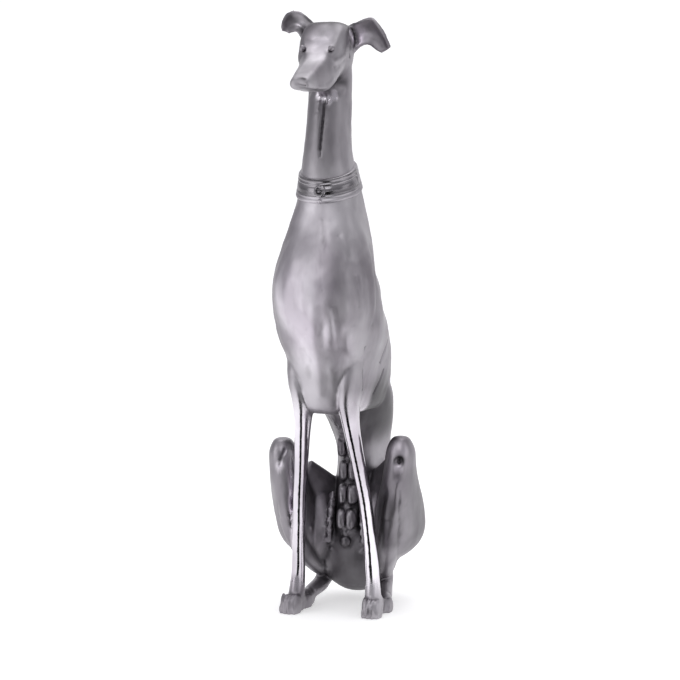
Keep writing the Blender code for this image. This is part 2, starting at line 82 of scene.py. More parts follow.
# Skull and muzzle: Y, top, bottom, half width, how much wider it is above than below
HEAD = (
    (-0.2, 67.4, 64.2, 1.50, 0.14), (-1.2, 68.9, 62.8, 2.50, 0.16), (-2.8, 69.5, 62.6, 2.95, 0.16),
    (-4.6, 69.4, 62.8, 3.00, 0.14), (-6.0, 68.1, 62.3, 2.70, 0.04), (-7.1, 66.4, 61.7, 2.26, -0.06),
    (-8.4, 65.3, 61.6, 2.04, -0.12), (-9.9, 64.5, 61.75, 1.76, -0.12), (-11.3, 63.8, 61.85, 1.46, -0.10),
    (-12.1, 63.35, 61.95, 1.28, -0.08), (-12.5, 63.0, 62.15, 1.00, 0.0),
)
HEAD_FULLNESS = 0.48
# Foreleg of the left side: X, Y, Z, half width, half depth
FORELEG = (
    (3.40, -3.0, 34.0, 1.00, 1.60), (3.45, -3.5, 31.0, 1.40, 2.30), (3.15, -4.0, 28.0, 1.45, 2.45),
    (2.86, -4.1, 25.6, 1.26, 2.02),
    (3.05, -3.8, 22.8, 0.94, 1.45), (3.58, -2.9, 18.0, 0.81, 1.12), (4.09, -2.1, 13.7, 0.78, 1.02),
    (4.40, -1.5, 9.0, 0.76, 0.98), (4.58, -1.2, 5.0, 0.80, 1.00), (4.66, -1.3, 2.8, 0.92, 1.15),
    (4.76, -1.5, 1.2, 1.00, 1.50),
)
# The left forefoot stands a little behind the right one, from the elbow down
STANCE_SKEW = 0.55
STANCE_TOP = 25.0
# The hips turn a little to the dog's left, and its left knee is drawn up higher
HIP_TURN = 6.0
HIP_AXIS_Y = 2.0
KNEE_RISE = 0.018
# Haunch of the left side: height, centre X, centre Y, half width, half depth of its sections
HAUNCH = (
    (20.9, 7.30, 0.3, 0.50, 0.60), (20.55, 7.30, 0.4, 1.10, 1.30), (19.2, 7.25, 0.6, 1.70, 2.10),
    (17.0, 7.05, 1.2, 1.90, 2.90), (15.0, 6.80, 2.1, 2.20, 3.80), (13.0, 6.50, 3.5, 2.55, 4.70),
    (11.0, 6.20, 4.8, 2.80, 5.40), (9.0, 5.95, 5.7, 2.90, 5.50), (7.4, 5.50, 6.2, 2.70, 5.00),
    (6.2, 4.85, 6.6, 2.20, 4.10), (5.3, 4.25, 6.8, 1.40, 2.80),
)
HAUNCH_TURN = 2.0
HAUNCH_FULLNESS = 0.84
# Shin from the knee to the hock, and the foot forward to the paw: X, Y, Z, two radii
SHIN = (
    (7.20, 0.5, 19.0, 0.85, 0.90), (7.05, -0.1, 16.5, 1.10, 1.30), (6.60, -0.4, 13.5, 1.10, 1.30),
    (6.15, -0.1, 10.5, 1.10, 1.30), (5.40, 1.8, 7.4, 1.20, 1.35), (4.45, 4.4, 5.2, 1.20, 1.40),
    (3.75, 6.6, 3.9, 1.15, 1.35),
)
FOOT = (
    (3.65, 7.4, 4.2, 0.95, 1.05), (3.75, 7.0, 3.0, 1.05, 1.15), (4.05, 5.6, 2.0, 1.00, 0.95),
    (4.70, 3.2, 1.3, 0.90, 0.85),
)
GROIN = ((4.2, 5.4, 9.6), (2.9, 3.4, 5.2))
# Sheet of skin that hangs between the knee and the belly: X, Y, Z, half thickness, half height
WEB = (
    (6.6, 2.3, 14.6, 1.1, 4.0), (5.0, 3.7, 12.9, 1.2, 4.2),
    (3.5, 4.9, 11.5, 1.4, 4.2), (1.8, 5.8, 10.4, 1.6, 4.0),
)
RUMP = ((2.2, 8.9, 7.2), (2.9, 3.6, 5.9))
LAP = ((0.0, 6.3, 6.6), (5.0, 4.0, 5.4))
SHOULDER = ((3.3, -3.4, 36.5), (2.8, 5.0, 6.8))

# Paws: middle of the sole, length, width, height, outward turn in degrees
FORE_PAW = ((4.90, -1.6), 4.6, 2.35, 2.50, 5.0)
HIND_PAW = ((4.95, 1.8), 4.4, 2.15, 1.90, 7.0)
TOES = 4
TOE_SPLAY = 26.0
# Parts of a paw, in shares of its size: place forward, height, half width, half length, half height
PAW_HEEL = (-0.12, 0.42, 0.44, 0.36, 0.64)
PAW_PAD = (0.08, 0.34, 0.44, 0.30, 0.52)
PAW_TOE = (0.30, 0.36, 0.135, 0.22, 0.58)
PAW_CLAW = (0.46, 0.20, 0.065, 0.065, 0.26)
TOE_ROW = 0.76
CLAW_ROW = 0.82
TOE_ARCH = 0.22

# Ears: rims from root to tip, as X, Y, Z
EAR_THICKNESS = 0.42
EAR_SPAN = 12
EAR_TIP_FLATNESS = 0.65
LEFT_EAR_TOP = (
    (1.2, -1.6, 68.9), (2.9, -1.9, 69.5), (4.4, -2.2, 70.0),
    (5.25, -2.3, 69.85), (6.5, -2.4, 68.3), (7.4, -2.6, 66.6),
)
LEFT_EAR_LOW = (
    (2.3, -2.6, 65.4), (3.1, -2.4, 66.4), (3.9, -2.2, 66.9),
    (4.7, -2.2, 66.9), (5.5, -2.4, 66.4), (6.2, -2.5, 66.0),
)
LEFT_EAR_CUP = 0.95
RIGHT_EAR_TOP = (
    (-1.9, -1.6, 68.8), (-2.9, -2.0, 69.9), (-4.1, -2.3, 70.75),
    (-5.4, -2.5, 70.65), (-6.15, -2.6, 69.5), (-6.15, -2.6, 68.5),
)
RIGHT_EAR_LOW = (
    (-2.5, -2.6, 65.9), (-3.4, -2.5, 67.0), (-3.9, -2.3, 67.9),
    (-4.3, -2.3, 68.5), (-4.8, -2.4, 68.5), (-5.4, -2.5, 68.35),
)
RIGHT_EAR_CUP = 0.80

# Eyes, a little out of their sockets
EYE = (1.78, -6.95, 66.55)
EYE_RADIUS = 0.36
EYE_SEGMENTS = 30

# Collar: heights in front and behind, width of the band, how far it stands out
COLLAR_FRONT_Z = 50.3
COLLAR_BACK_Z = 52.6
COLLAR_BAND = 2.7
COLLAR_PROUD = 0.28
COLLAR_SEGMENTS = 160
# The band's section: place across it, and share of its full height there
COLLAR_PROFILE = (
    (-0.02, -0.5), (0.0, 0.7), (0.05, 1.0), (0.13, 1.0), (0.17, 0.35), (0.21, 1.0), (0.27, 0.95), (0.31, 0.3),
    (0.35, 0.9), (0.65, 0.9), (0.69, 0.3), (0.73, 0.95), (0.79, 1.0), (0.83, 0.35), (0.87, 1.0), (0.95, 1.0),
    (1.0, 0.7), (1.02, -0.5),
)

# Buckle on the collar's front: a ring round a stud, and a small stud under it
BUCKLE_X = 0.35
BUCKLE_RING = 0.55
BUCKLE_WIRE = 0.20
BUCKLE_STUD = 0.24
BUCKLE_HEIGHT = 0.30
BUCKLE_LEAN = 0.14
BUCKLE_SEGMENTS = 24
WIRE_SEGMENTS = 8
LOW_STUD_DROP = 0.42

# Tail, lying close down the middle of the rump: Y, Z, radius
TAIL = ((11.2, 12.0, 0.9), (12.1, 9.0, 0.85), (12.0, 6.0, 0.7), (11.2, 3.6, 0.55), (9.9, 2.2, 0.42))

# The throat's groove, a little to the dog's left: X, then Y and Z of its two ends
THROAT_X = 0.35
THROAT = ((-5.9, 60.6), (-6.9, 54.2))

# The belly's relief: paired lumps, a knob under them, and a beaded strip on either side
BELLY_LUMPS = 4
BELLY_TOP_Z = 19.4
BELLY_STEP = 2.9
BELLY_LUMP = (0.48, 0.50, 1.12)
BELLY_HALF = 0.54
BELLY_KNOB = (7.9, 0.65, 0.50, 0.70)
STRIP_BEADS = 6
STRIP_TOP_Z = 13.2
STRIP_STEP = 1.0
STRIP_HALF = 1.95
STRIP_WIDENING = 0.06
STRIP_BACK = 0.55
STRIP_BEAD = (0.42, 0.42, 0.62)


def through(table, steps=LOFT_STEPS):
    """Rows of a smooth curve that passes through every row of the table."""
    rows = np.array(table, float)
    padded = np.vstack([2 * rows[0] - rows[1], rows, 2 * rows[-1] - rows[-2]])
    out = []
    for i in range(len(rows) - 1):
        a, b, c, d = padded[i:i + 4]
        for k in range(steps):
            t = k / steps
            square, cube = 2 * a - 5 * b + 4 * c - d, 3 * b - a - 3 * c + d
            out.append(b + (c - a) * t / 2 + square * t ** 2 / 2 + cube * t ** 3 / 2)
    out.append(rows[-1])
    return np.array(out)


def new_object(name, mesh_data):
    obj = bpy.data.objects.new(name, mesh_data)
    bpy.context.scene.collection.objects.link(obj)
    return obj


def object_from(name, bm):
    """New object with the faces of bm, which is freed."""
    data = bpy.data.meshes.new(name)
    bm.to_mesh(data)
    bm.free()
    return new_object(name, data)


def loft(name, rings, endless=False):
    """Body through rings with the same number of points, capped at its ends or run round in a loop."""
    bm = bmesh.new()
    loops = [[bm.verts.new(Vector(p) * U) for p in ring] for ring in rings]
    following = loops[1:] + loops[:1] if endless else loops[1:]
    for low, high in zip(loops, following):
        for i in range(len(low)):
            j = (i + 1) % len(low)
            bm.faces.new((low[i], low[j], high[j], high[i]))
    if not endless:
        bm.faces.new(loops[0][::-1])
        bm.faces.new(loops[-1])
    bmesh.ops.recalc_face_normals(bm, faces=bm.faces)
    return object_from(name, bm)


def oval(half_x, half_y, narrowing=0.0, fullness=1.0, count=RING_POINTS):
    """Outline of a section; narrowing thins its front, fullness below 1 squares it."""
    points = []
    half_x /= 1 + EVENING * abs(narrowing)
    for k in range(count):
        a = 2 * math.pi * k / count
        c, s = math.cos(a), math.sin(a)
        x = half_x * math.copysign(abs(c) ** fullness, c) * (1 + narrowing * s)
        points.append((x, half_y * s))
    return points


def upright_loft(name, table, narrowing=0.0):
    """Body of level sections: height, front, back, half width, and a fullness where a row gives one."""
    rings = []
    for row in through(table):
        z, front, back, half = row[:4]
        fullness = row[4] if len(row) > 4 else 1.0
        middle = (front + back) / 2
        section = oval(half, (back - front) / 2, narrowing, fullness)
        rings.append([(x, middle + y, z) for x, y in section])
    return loft(name, rings)


def head_loft(name, table):
    """Skull and muzzle of upright, squarish sections."""
    rings = []
    for y, top, bottom, half, widening in through(table):
        middle = (top + bottom) / 2
        section = oval(half, (top - bottom) / 2, widening, HEAD_FULLNESS)
        rings.append([(x, y, middle + z) for x, z in section])
    return loft(name, rings)


def haunch(name, side):
    """Thigh and knee of level sections whose long axis turns outward at the front."""
    turn = math.radians(HAUNCH_TURN) * side
    c, s = math.cos(turn), math.sin(turn)
    rings = []
    for z, x, y, half_x, half_y in through(HAUNCH):
        section = oval(half_x, half_y, fullness=HAUNCH_FULLNESS, count=32)
        rings.append([(side * x + c * px - s * py, y + s * px + c * py, z) for px, py in section])
    return loft(name, rings)


def stance(side, z):
    """How far behind its even place a point of a foreleg stands."""
    return side * STANCE_SKEW * max(0.0, 1.0 - z / STANCE_TOP)


def limb(name, table, side):
    """Tapering limb with level oval sections along its path."""
    rings = []
    for x, y, z, half_x, half_y in through(table):
        y += stance(side, z)
        rings.append([(side * x + px, y + py, z) for px, py in oval(half_x, half_y, count=24)])
    return loft(name, rings)


def rod(name, path, side=1.0, count=20):
    """Round rod along a path of X, Y, Z, two radii; sections square to the path."""
    rows = through(path)
    rings = []
    for i, row in enumerate(rows):
        ahead = Vector(rows[min(i + 1, len(rows) - 1)][:3]) - Vector(rows[max(i - 1, 0)][:3])
        ahead.normalize()
        across = ahead.cross(Vector((0, 0, 1)))
        if across.length < 0.2:
            across = Vector((1, 0, 0))
        across.normalize()
        over = across.cross(ahead)
        ring = []
        for k in range(count):
            a = 2 * math.pi * k / count
            p = Vector(row[:3]) + across * math.cos(a) * row[3] + over * math.sin(a) * row[4]
            ring.append((side * p.x, p.y, p.z))
        rings.append(ring)
    return loft(name, rings)


def ball(name, centre, radii, turn=0.0, segments=28):
    """Ellipsoid, turned about the vertical by an angle in degrees."""
    bm = bmesh.new()
    size = Matrix.Diagonal((*[r * U for r in radii], 1.0))
    place = Matrix.Translation(Vector(centre) * U) @ Matrix.Rotation(math.radians(turn), 4, "Z")
    rows = segments // 3 * 2
    bmesh.ops.create_uvsphere(bm, u_segments=segments, v_segments=rows, radius=1.0, matrix=place @ size)
    return object_from(name, bm)


def paw(name, spec, side, set_back=0.0):
    """Heel, pad, toes side by side with a gap between them, and blunt claws."""
    (x, y), length, width, height, turn = spec
    forward = Matrix.Rotation(math.radians(turn * side), 3, "Z")

    def lump(part, across=0.0, splay=0.0, back=0.0):
        ahead, up, half_width, half_length, half_height = part
        d = forward @ Vector((across * width, (back - ahead) * length, 0))
        place = (side * x + d.x, y + set_back + d.y, up * height)
        radii = (half_width * width, half_length * length, half_height * height)
        return ball(name, place, radii, turn * side - splay)

    pieces = [lump(PAW_HEEL), lump(PAW_PAD)]
    for k in range(TOES):
        across = (k - (TOES - 1) / 2) / (TOES - 1)
        back = TOE_ARCH * across * across
        pieces.append(lump(PAW_TOE, across * TOE_ROW, TOE_SPLAY * across, back))
        pieces.append(lump(PAW_CLAW, across * CLAW_ROW, 0.0, back))
    return pieces


def ear(name, top, low, cup):
    """Thin cupped leaf between its two rims, hollow towards the front."""
    upper, lower = through(top), through(low)
    bm = bmesh.new()
    grid = []
    for i, (a, b) in enumerate(zip(upper, lower)):
        s = i / (len(upper) - 1)
        depth = cup * (1 - EAR_TIP_FLATNESS * s)
        row = []
        for k in range(EAR_SPAN + 1):
            t = k / EAR_SPAN
            p = Vector(a).lerp(Vector(b), t)
            p.y += depth * 4 * t * (1 - t)
            row.append(bm.verts.new(p * U))
        grid.append(row)
    for r0, r1 in zip(grid, grid[1:]):
        for k in range(EAR_SPAN):
            bm.faces.new((r0[k], r0[k + 1], r1[k + 1], r1[k]))
    bmesh.ops.recalc_face_normals(bm, faces=bm.faces)
    obj = object_from(name, bm)
    wall = obj.modifiers.new("wall", "SOLIDIFY")
    wall.thickness = EAR_THICKNESS * U
    wall.offset = 0.0
    wall.use_even_offset = False
    return obj


def evaluated_copy(name, obj):
    """Plain mesh object with the modifiers of obj applied; obj is removed."""
    graph = bpy.context.evaluated_depsgraph_get()
    data = bpy.data.meshes.new_from_object(obj.evaluated_get(graph))
    data.name = name
    place = obj.matrix_world.copy()
    bpy.data.objects.remove(obj)
    result = new_object(name, data)
    result.matrix_world = place
    return result


def merged(name, pieces):
    """All pieces in one mesh, still as separate shells."""
    bm = bmesh.new()
    graph = bpy.context.evaluated_depsgraph_get()
    for piece in pieces:
        data = bpy.data.meshes.new_from_object(piece.evaluated_get(graph))
        data.transform(piece.matrix_world)
        bm.from_mesh(data)
        bpy.data.meshes.remove(data)
    for piece in pieces:
        bpy.data.objects.remove(piece)
    return object_from(name, bm)


def skinned(name, pieces, voxel, smoothing):
    """One skin over all the pieces, with soft joins."""
    obj = merged(name, pieces)
    skin = obj.modifiers.new("skin", "REMESH")
    skin.mode = "VOXEL"
    skin.voxel_size = voxel
    soft = obj.modifiers.new("soft", "SMOOTH")
    soft.factor = 0.5
    soft.iterations = smoothing
    return evaluated_copy(name, obj)


def coordinates(obj):
    flat = np.empty(len(obj.data.vertices) * 3)
    obj.data.vertices.foreach_get("co", flat)
    return flat.reshape(-1, 3) / U


def set_coordinates(obj, points):
    obj.data.vertices.foreach_set("co", (points * U).ravel())
    obj.data.update()


def normals(obj):
    flat = np.empty(len(obj.data.vertices) * 3)
    obj.data.vertices.foreach_get("normal", flat)
    return flat.reshape(-1, 3)


# Fine carving. Each stroke is a path of X, Y, Z, a radius and a depth; a depth below zero raises
# the metal. Those in BOTH are given for the left side and carved on both, those in MIDDLE once.
BOTH = (
    # mouth line
    (((0.63, -12.3, 61.60), (1.10, -11.3, 61.50), (1.60, -10.2, 61.60)), 0.17, 0.18),
    # edge of the upper lip, and the hollow behind it under the jaw
    (((1.45, -10.2, 62.15), (1.85, -8.7, 62.05), (2.25, -7.4, 62.90)), 0.28, -0.18),
    (((1.60, -5.2, 62.00), (2.30, -4.4, 61.80)), 0.60, 0.30),
    # cheek: a crease under the eye, and the swelling above it
    (((2.30, -7.1, 64.40), (2.60, -6.1, 64.75), (2.80, -5.3, 65.10)), 0.30, 0.09),
    (((2.35, -6.6, 65.30), (2.75, -5.2, 65.90)), 0.50, -0.06),
    # fold where the ear meets the skull
    (((2.70, -3.3, 68.60), (2.95, -3.8, 67.20), (2.90, -3.6, 65.60)), 0.22, 0.30),
    # shoulder blade, the long crease behind the foreleg, and folds of the flank
    (((3.4, -5.6, 47.0), (4.9, -4.4, 43.6), (5.6, -5.0, 40.4)), 1.30, -0.20),
    (((5.4, -3.4, 43.2), (6.1, -3.6, 39.0), (5.9, -4.6, 35.0)), 0.50, 0.16),
    (((5.41, -5.1, 32.3), (4.93, -4.45, 29.8), (4.38, -3.6, 27.2)), 0.18, 0.24),
    (((5.96, 0.4, 32.6), (5.63, -0.7, 30.1)), 0.15, 0.20),
    (((5.47, 0.7, 29.1), (4.72, -0.6, 26.3)), 0.15, 0.20),
    # thigh: the shin's ridge, the hollows beside it, and a fold on the inner side
    (((7.75, -0.9, 16.0), (7.45, -0.6, 13.0), (6.60, 0.2, 9.6), (5.30, 2.2, 6.6)), 0.40, -0.22),
    (((8.05, 0.6, 15.5), (8.00, 0.8, 13.0), (7.30, 1.6, 9.6)), 0.50, 0.26),
    (((6.30, -0.4, 15.0), (5.90, 0.0, 12.0), (5.40, 1.2, 9.4)), 0.45, 0.22),
    (((4.60, 2.4, 13.0), (4.90, 2.3, 10.5), (4.20, 2.9, 8.5)), 0.40, -0.25),
    # fold of skin that runs from the thigh to the belly's foot
    (((3.90, 0.9, 9.6), (3.20, 1.7, 8.2), (2.60, 2.2, 7.4), (1.50, 3.0, 6.4)), 0.16, -0.26),
    # back: shoulder blades and the loin's edge
    (((2.6, 1.4, 46.0), (3.6, 1.6, 42.0), (3.4, 3.2, 37.0)), 0.80, -0.28),
    (((1.8, 9.6, 26.0), (2.2, 11.2, 21.0), (2.8, 11.8, 16.0)), 0.70, -0.22),
    (((5.4, 7.2, 22.0), (4.6, 9.4, 17.0), (4.4, 10.6, 12.0)), 0.80, 0.30),
)
MIDDLE = (
    # nostril slit
    (((-0.07, -12.3, 62.55), (0.80, -12.4, 62.30)), 0.19, 0.32),
    # breastbone's edge, and the folds of the chest on either side of it
    (((0.75, -7.2, 47.0), (1.27, -8.2, 44.2), (1.55, -9.5, 41.5), (1.90, -10.2, 39.3)), 0.26, 0.07),
    (((0.0, -10.4, 37.6), (0.0, -9.6, 34.7), (0.7, -9.0, 33.4), (1.5, -9.5, 34.8), (1.6, -10.3, 38.6)),
     0.50, 0.05),
    (((1.53, -9.5, 34.8), (1.43, -8.6, 32.9), (1.48, -7.8, 31.2)), 0.45, 0.05),
    (((3.05, -9.7, 36.9), (3.06, -8.2, 33.0), (3.19, -6.9, 29.3)), 0.40, 0.08),
    (((2.66, -7.1, 45.2), (4.05, -7.6, 42.5), (4.97, -6.2, 42.2), (4.97, -3.6, 43.9)), 0.50, 0.10),
    (((5.03, -7.3, 40.6), (5.41, -7.4, 37.3)), 0.34, 0.09),
    (((-3.6, -8.0, 41.0), (-4.4, -7.2, 37.5)), 0.80, 0.12),
    # breastbone's ridge
    (((0.2, -8.6, 42.0), (0.2, -10.0, 38.5), (0.2, -9.3, 34.5), (0.1, -7.6, 30.5), (0.0, -6.2, 27.0)),
     0.75, -0.20),
    # backbone from the collar to the rump
    (((0.0, 1.6, 48.0), (0.0, 1.8, 42.0), (0.0, 3.0, 37.0), (0.0, 7.0, 31.5), (0.0, 10.4, 24.0),
      (0.0, 12.2, 15.0)), 0.55, -0.22),
)
# The knees: a dimple in the left, a slanting streak in the right
KNEE_DIMPLE = ((7.93, -0.90, 18.48), 0.37, 0.52)
KNEE_STREAK = (((-6.02, -1.9, 19.35), (-6.32, -2.4, 18.5), (-6.65, -2.5, 17.5)), 0.17, 0.22)
SHIN_STREAK = (((7.84, -0.95, 15.4), (7.86, -0.65, 14.1), (7.80, -0.15, 12.5)), 0.14, 0.20)

# The belly's paired lumps: middle X, half spacing, heights, and their half sizes
LUMP_X = 0.22
LUMP_GAP = 0.58
LUMPS = (19.4, 16.5, 13.6, 10.7)
LUMP_HALF = (0.46, 1.12)
LUMP_LIFT = 0.42
# Rough strips: path, radius, height, size of the grain
STRIPS = (
    (((-1.2, 0.9, 23.0), (-0.4, 0.9, 22.0), (0.0, 1.7, 20.6)), 0.80, 0.16, 0.50),
    (((0.2, 1.6, 9.4), (0.2, 1.6, 8.4)), 0.80, 0.20, 0.40),
    (((2.1, 2.7, 13.4), (2.2, 2.1, 10.4), (2.4, 2.1, 7.6)), 0.55, 0.20, 0.36),
    (((-2.1, 2.7, 13.4), (-2.2, 2.1, 10.4), (-2.4, 2.1, 7.6)), 0.55, 0.20, 0.36),
    (((3.3, 4.2, 4.6), (3.4, 5.6, 3.6), (3.6, 5.0, 1.8)), 1.10, 0.07, 0.60),
    (((-3.3, 4.0, 4.6), (-3.4, 5.6, 3.6), (-3.6, 5.0, 1.8)), 1.10, 0.07, 0.60),
)
# Rough streak down the throat: width, depth, width at the top and its loss further down
THROAT_WIDTH = 0.24
THROAT_DEPTH = 0.42
THROAT_TAPER = (1.25, 0.85)
THROAT_GRAIN = 0.35
THROAT_BORDER = 0.10

# Eye socket: how far ahead of the eye it is cut, depth, radius; then its rim: height, distance, width
SOCKET_AHEAD = 0.30
SOCKET = (0.13, 0.48)
SOCKET_RIM = (0.09, 0.66, 0.16)

# Soft waves of the casting: drawn-out ones on the chest, small dents above the belly, wide ones all over
BELLY_HEIGHT = 24.0
CHEST_MIDDLE_Z = 37.0
CHEST_REACH = 9.0
CHEST_WAVES = 0.14
CHEST_DENTS = 0.035
INNER_WAVES = 0.03
WIDE_WAVES = 0.04

# Flat faces cut on the head: a point, the way it faces, and its reach
PLANES = (
    ((0.0, -6.30, 67.20), (0.0, -0.76, 0.65), 1.9),
    ((0.0, -5.75, 68.15), (0.0, -0.90, 0.43), 1.7),
    ((0.0, -10.0, 64.35), (0.0, -0.46, 0.89), 1.6),
)

# Where the buffing wheel left a mirror: path, radius, share
BUFFED = (
    (((3.0, -2.6, 67.3), (3.6, -2.0, 66.9)), 0.80, 0.6),
    (((-3.9, -2.2, 68.3),), 0.50, 0.6),
    (((1.78, -7.1, 66.55),), 0.50, 0.5),
    (((-1.78, -7.1, 66.55),), 0.50, 0.5),
    (((7.7, -0.8, 18.6),), 1.2, 0.5),
    (((-6.4, -2.2, 18.6),), 1.0, 0.35),
    (((-0.11, -5.6, 60.5), (0.85, -5.6, 59.9)), 0.55, 1.0),
    (((1.52, -5.1, 60.8), (1.55, -5.2, 60.2)), 0.35, 1.0),
    (((0.1, 1.7, 18.5), (0.2, 1.5, 9.0)), 1.0, 0.3),
)
# Painted light and shade by region, as a gain on the plain satin's colour: brighter where highlights and
# reflections fall, darker where shade falls; path, radius, gain
PAINTED_LIGHT_BY_REGION = (
    (((0.2, -5.9, 67.3), (0.3, -6.5, 66.5)), 1.35, 2.1),
    (((0.4, -7.3, 65.6), (0.45, -8.1, 64.7)), 0.90, 1.45),
    (((1.0, -1.5, 69.6), (0.0, -5.0, 69.2)), 2.1, 0.27),
    (((-2.4, -3.0, 69.2), (2.6, -3.0, 69.3)), 1.3, 0.29),
    (((1.78, -7.1, 66.55),), 0.46, 3.6),
    (((-1.78, -7.1, 66.55),), 0.46, 3.4),
    (((0.4, -5.4, 60.0), (0.5, -6.4, 54.0)), 2.2, 0.80),
    (((-0.5, -8.2, 46.0), (-1.5, -10.0, 40.0)), 4.2, 1.60),
    (((-1.0, -9.8, 38.0), (1.0, -8.4, 32.5)), 3.4, 2.7),
    (((0.0, -6.9, 29.5), (0.0, -6.0, 26.5)), 3.4, 1.35),
    (((-0.11, -5.6, 60.5), (0.85, -5.6, 59.9)), 0.55, 3.2),
    (((1.52, -5.1, 60.8), (1.55, -5.2, 60.2)), 0.38, 3.0),
    (((-4.9, -2.5, 68.6), (-5.5, -2.7, 69.2)), 0.95, 0.62),
    (((-3.9, -2.2, 68.3),), 0.45, 1.7),
    (((4.9, -2.2, 67.6), (6.2, -2.5, 66.6)), 1.5, 0.95),
    (((3.0, -2.6, 67.3), (3.6, -2.0, 66.9)), 0.95, 3.0),
    (((7.9, -0.9, 19.7),), 1.1, 2.0),
    (((7.7, -0.9, 17.5),), 0.55, 2.6),
    (((-6.4, -2.4, 17.2),), 0.55, 2.4),
    (((8.6, 3.0, 15.0), (8.2, 5.0, 10.0)), 3.6, 0.62),
    (((-8.6, 2.0, 15.0), (-8.2, 4.0, 10.0)), 3.6, 0.52),
    (((0.0, 2.6, 6.0), (0.0, 4.0, 3.0)), 3.6, 0.45),
)
# The same for places given on the left and alike on both sides: shins, belly's sides, insides of the thighs
PAINTED_LIGHT_BOTH_SIDES = (
    (((6.2, -0.4, 13.0), (5.6, 0.8, 9.0)), 1.6, 0.45),
    (((4.6, 1.0, 25.0), (4.4, 5.0, 22.0)), 3.4, 0.25),
    (((4.2, 3.0, 14.0), (3.4, 3.0, 9.0)), 2.4, 1.6),
)
# The same painted gain on the forelegs, where it brightens their reflections, and on the collar, and the
# collar's share of the mirror
LEG_PAINTED_LIGHT = 2.3
COLLAR_PAINTED_LIGHT = 0.75
COLLAR_POLISH = 0.7
# Dark marks: painted shade in creases and hollows, painted dark reflections at the knees, and a dark streak
# down the throat's groove; path, radius, share; the first group on both sides
PAINTED_SHADE_BOTH_SIDES = (
    (((2.75, -3.3, 68.60), (2.75, -3.7, 66.80), (2.80, -3.6, 65.60)), 0.18, 0.8),
    (((2.35, -7.0, 64.40), (2.75, -5.5, 65.00)), 0.26, 0.4),
    (((5.6, -0.6, 12.6), (5.2, 1.4, 9.6)), 1.2, 0.4),
)
PAINTED_SHADE_AND_PATINA_ONCE = (
    (((0.60, -5.6, 59.8), (0.35, -6.5, 56.6), (0.35, -6.9, 54.4)), 0.22, 1.0),
    (((1.50, -5.2, 62.10), (2.40, -4.2, 61.80)), 0.75, 0.9),
    (((-3.75, -2.2, 67.9), (-3.2, -2.4, 66.8)), 0.45, 0.8),
    # painted dark reflections: the dimple in the left knee, the streak down the left shin, and the streak in
    # the right knee
    (((7.93, -0.90, 18.48),), 0.46, 1.8),
    (((7.86, -0.8, 14.9), (7.82, -0.4, 13.2)), 0.16, 0.7),
    (((-6.1, -2.0, 19.2), (-6.5, -2.5, 17.9)), 0.18, 0.8),
    (((3.39, -3.34, 51.7), (3.68, -3.46, 50.6)), 0.15, 1.0),
    (((-0.07, -12.3, 62.55), (0.80, -12.4, 62.30)), 0.20, 1.0),
)
# Thin painted shade over the whole lap
LAP_PAINTED_SHADE = 0.08
# Dark lines of the collar, in shares of its width
COLLAR_LINES = (0.15, 0.29, 0.71, 0.85)
LINE_WIDTH = 0.024


def soft_noise(points, scale, seed):
    """Smooth noise between -1 and 1 at every point; scale is the size of its waves."""
    shift = Vector((seed * 17.3, seed * 5.1, seed * 9.7))
    return np.array([noise.noise(Vector(p) / scale + shift) for p in points])


def distance_to(points, path):
    path = np.array(path, float)
    nearest = np.linalg.norm(points - path[0], axis=1)
    for a, b in zip(path, path[1:]):
        along = b - a
        t = np.clip(((points - a) @ along) / (along @ along), 0, 1)
        nearest = np.minimum(nearest, np.linalg.norm(points - (a + t[:, None] * along), axis=1))
    return nearest


def mirrored(path):
    return tuple((-x, y, z) for x, y, z in path)


